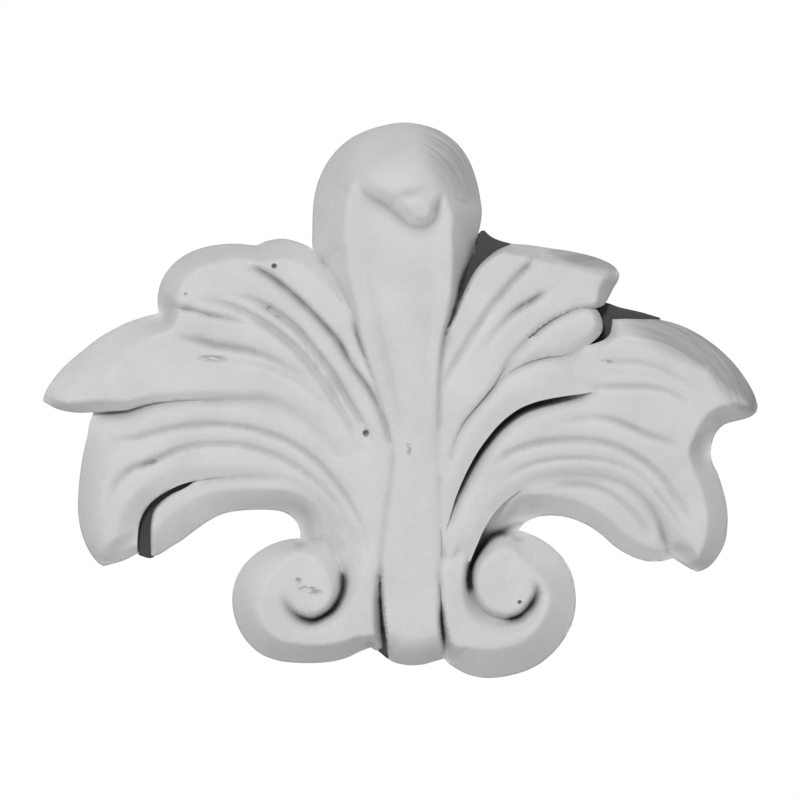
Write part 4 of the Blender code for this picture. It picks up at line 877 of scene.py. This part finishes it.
class Socket:
    """A shader socket that can stand in a Python expression."""

    def __init__(self, material, socket):
        self.material, self.socket = material, socket

    def maths(self, operation, other):
        return self.material.node("ShaderNodeMath", {"operation": operation}, {0: self, 1: other})

    def __add__(self, other):
        return self.maths("ADD", other)

    def __mul__(self, other):
        return self.maths("MULTIPLY", other)


class Finish:
    """A material whose nodes are added one call at a time."""

    def __init__(self, name):
        self.data = bpy.data.materials.new(name)
        self.data.use_nodes = True
        self.tree = self.data.node_tree
        self.shader = self.tree.nodes["Principled BSDF"]

    def put(self, socket, value):
        if isinstance(value, Socket):
            self.tree.links.new(value.socket, socket)
        else:
            socket.default_value = value

    def node(self, kind, settings=None, inputs=None, output=0):
        node = self.tree.nodes.new(kind)
        for name, value in (settings or {}).items():
            setattr(node, name, value)
        for name, value in (inputs or {}).items():
            self.put(node.inputs[name], value)
        return Socket(self, node.outputs[output])

    def surface(self, **inputs):
        for name, value in inputs.items():
            self.put(self.shader.inputs[name.replace("_", " ")], value)


def primed_urethane():
    """White factory primer sprayed over urethane, a little uneven and marked by handling, with painted shade
    in the hollows and on the sides turned from the lamp.
    """
    finish = Finish("primed_urethane")
    place = finish.node("ShaderNodeTexCoord", output="Object")

    def noise(pattern, at=place):
        scale, detail = pattern
        inputs = {"Vector": at, "Scale": scale, "Detail": detail}
        return finish.node("ShaderNodeTexNoise", {}, inputs, "Fac")

    def mark(name):
        return finish.node("ShaderNodeAttribute", {"attribute_name": name}, output="Fac")

    def mixed(share, first, second):
        return finish.node("ShaderNodeMix", {"data_type": "RGBA"}, {"Factor": share, 6: first, 7: second}, 2)

    def between(value, low, high):
        return finish.node("ShaderNodeMapRange", {}, {"Value": value, "From Min": low, "From Max": high})

    def brushed(middle):
        """Fine streaks that run round a middle point."""
        across = finish.node("ShaderNodeVectorMath", {"operation": "SUBTRACT"}, {0: place, 1: middle})
        radius = finish.node("ShaderNodeVectorMath", {"operation": "LENGTH"}, {0: across}, "Value")
        rings = finish.node("ShaderNodeCombineXYZ", {}, {0: radius * STREAK_BEND})
        bent = finish.node("ShaderNodeVectorMath", {"operation": "ADD"}, {0: place, 1: rings})
        return noise(STREAKS, bent)

    mottle, grain = noise(MOTTLE), noise(GRAIN)
    tone = mottle * (1 - GRAIN_SHARE) + grain * GRAIN_SHARE
    colour = mixed(between(tone, *TONE_RANGE), DULL_PRIMER, CLEAN_PRIMER)

    boss_streaks, wing_streaks = brushed(BOSS_MIDDLE), brushed(WING_MIDDLE)
    boss_streaks_and_shade, wing_streaks_and_shade = mark("boss_streaks_and_shade"), mark("wing_streaks_and_shade")
    # Streaky primer and painted shade: on the boss's side turned from the lamp, and on the upper rims on the
    # right
    colour = mixed(boss_streaks_and_shade * between(boss_streaks, *BOSS_STREAK_RANGE), colour, STREAKED_SHADE_TONE)
    colour = mixed(wing_streaks_and_shade * between(wing_streaks, *WING_STREAK_RANGE), colour, STREAKED_SHADE_TONE)
    stretched = finish.node("ShaderNodeMapping", {}, {"Vector": place, "Scale": SPECK_STRETCH})
    specks = between(noise(SPECKS, stretched), *SPECK_RANGE)
    colour = mixed(mark("scuff") * specks, colour, SCUFF_TONE)
    # Painted shade in the grooves, at the feet of steps and on the low ledges
    colour = mixed(mark("painted_shade"), colour, PAINTED_SHADE_TONE)
    streaks = (boss_streaks * boss_streaks_and_shade + wing_streaks * wing_streaks_and_shade) * STREAK_RELIEF
    relief = mottle + grain * GRAIN_SHARE + streaks
    dents = finish.node("ShaderNodeBump", {}, {
        "Strength": DENT_STRENGTH, "Distance": DENT_DEPTH, "Height": relief,
    })
    roughness = tone * ROUGHNESS_SPREAD + ROUGHNESS
    finish.surface(Base_Color=colour, Roughness=roughness, Normal=dents, Specular_IOR_Level=SPECULAR)
    return finish.data


def studio():
    """A pale floor under the work, a white surround and soft lamps, the key one high on the left."""
    world = bpy.data.worlds.new("white_surround")
    bpy.context.scene.world = world
    world.use_nodes = True
    nodes, links = world.node_tree.nodes, world.node_tree.links
    fill = nodes["Background"]
    fill.inputs["Color"].default_value = (1, 1, 1, 1)
    fill.inputs["Strength"].default_value = SURROUND_LIGHT
    seen = nodes.new("ShaderNodeBackground")
    seen.inputs["Color"].default_value = (1, 1, 1, 1)
    seen.inputs["Strength"].default_value = 1.0
    path, mix = nodes.new("ShaderNodeLightPath"), nodes.new("ShaderNodeMixShader")
    links.new(path.outputs["Is Camera Ray"], mix.inputs["Fac"])
    links.new(fill.outputs["Background"], mix.inputs[1])
    links.new(seen.outputs["Background"], mix.inputs[2])
    links.new(mix.outputs["Shader"], nodes["World Output"].inputs["Surface"])

    bm = bmesh.new()
    bmesh.ops.create_grid(bm, x_segments=1, y_segments=1, size=FLOOR_SIZE / 2)
    bmesh.ops.translate(bm, vec=(0, 0, FLOOR_LEVEL), verts=bm.verts)
    mesh = bpy.data.meshes.new("floor")
    bm.to_mesh(mesh)
    bm.free()
    floor = bpy.data.objects.new("floor", mesh)
    paper = Finish("floor_paper")
    paper.surface(Base_Color=FLOOR_TONE, Roughness=FLOOR_ROUGHNESS)
    mesh.materials.append(paper.data)
    bpy.context.scene.collection.objects.link(floor)

    for name, (x, y, z), size, power in LAMPS:
        lamp = bpy.data.lights.new(name, "AREA")
        lamp.size, lamp.energy = size, power
        holder = bpy.data.objects.new(name, lamp)
        holder.location = x, y, z
        holder.rotation_euler = (-Vector((x, y, z))).to_track_quat("-Z", "Y").to_euler()
        bpy.context.scene.collection.objects.link(holder)


def camera():
    """A long lens square to the work."""
    lens = bpy.data.cameras.new("camera")
    lens.lens, lens.sensor_width = LENS, SENSOR
    lens.clip_start, lens.clip_end = NEAREST_SEEN, FARTHEST_SEEN
    holder = bpy.data.objects.new("camera", lens)
    holder.location = 0, -FRAME_WIDTH * LENS / SENSOR, 0
    holder.rotation_euler = np.pi / 2, 0, 0
    bpy.context.scene.collection.objects.link(holder)
    bpy.context.scene.camera = holder
    bpy.context.scene.view_settings.view_transform = "Standard"


casting = carved_casting()
casting.data.materials.append(primed_urethane())
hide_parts("leaf_onlay")
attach(casting, "root")
studio()
camera()
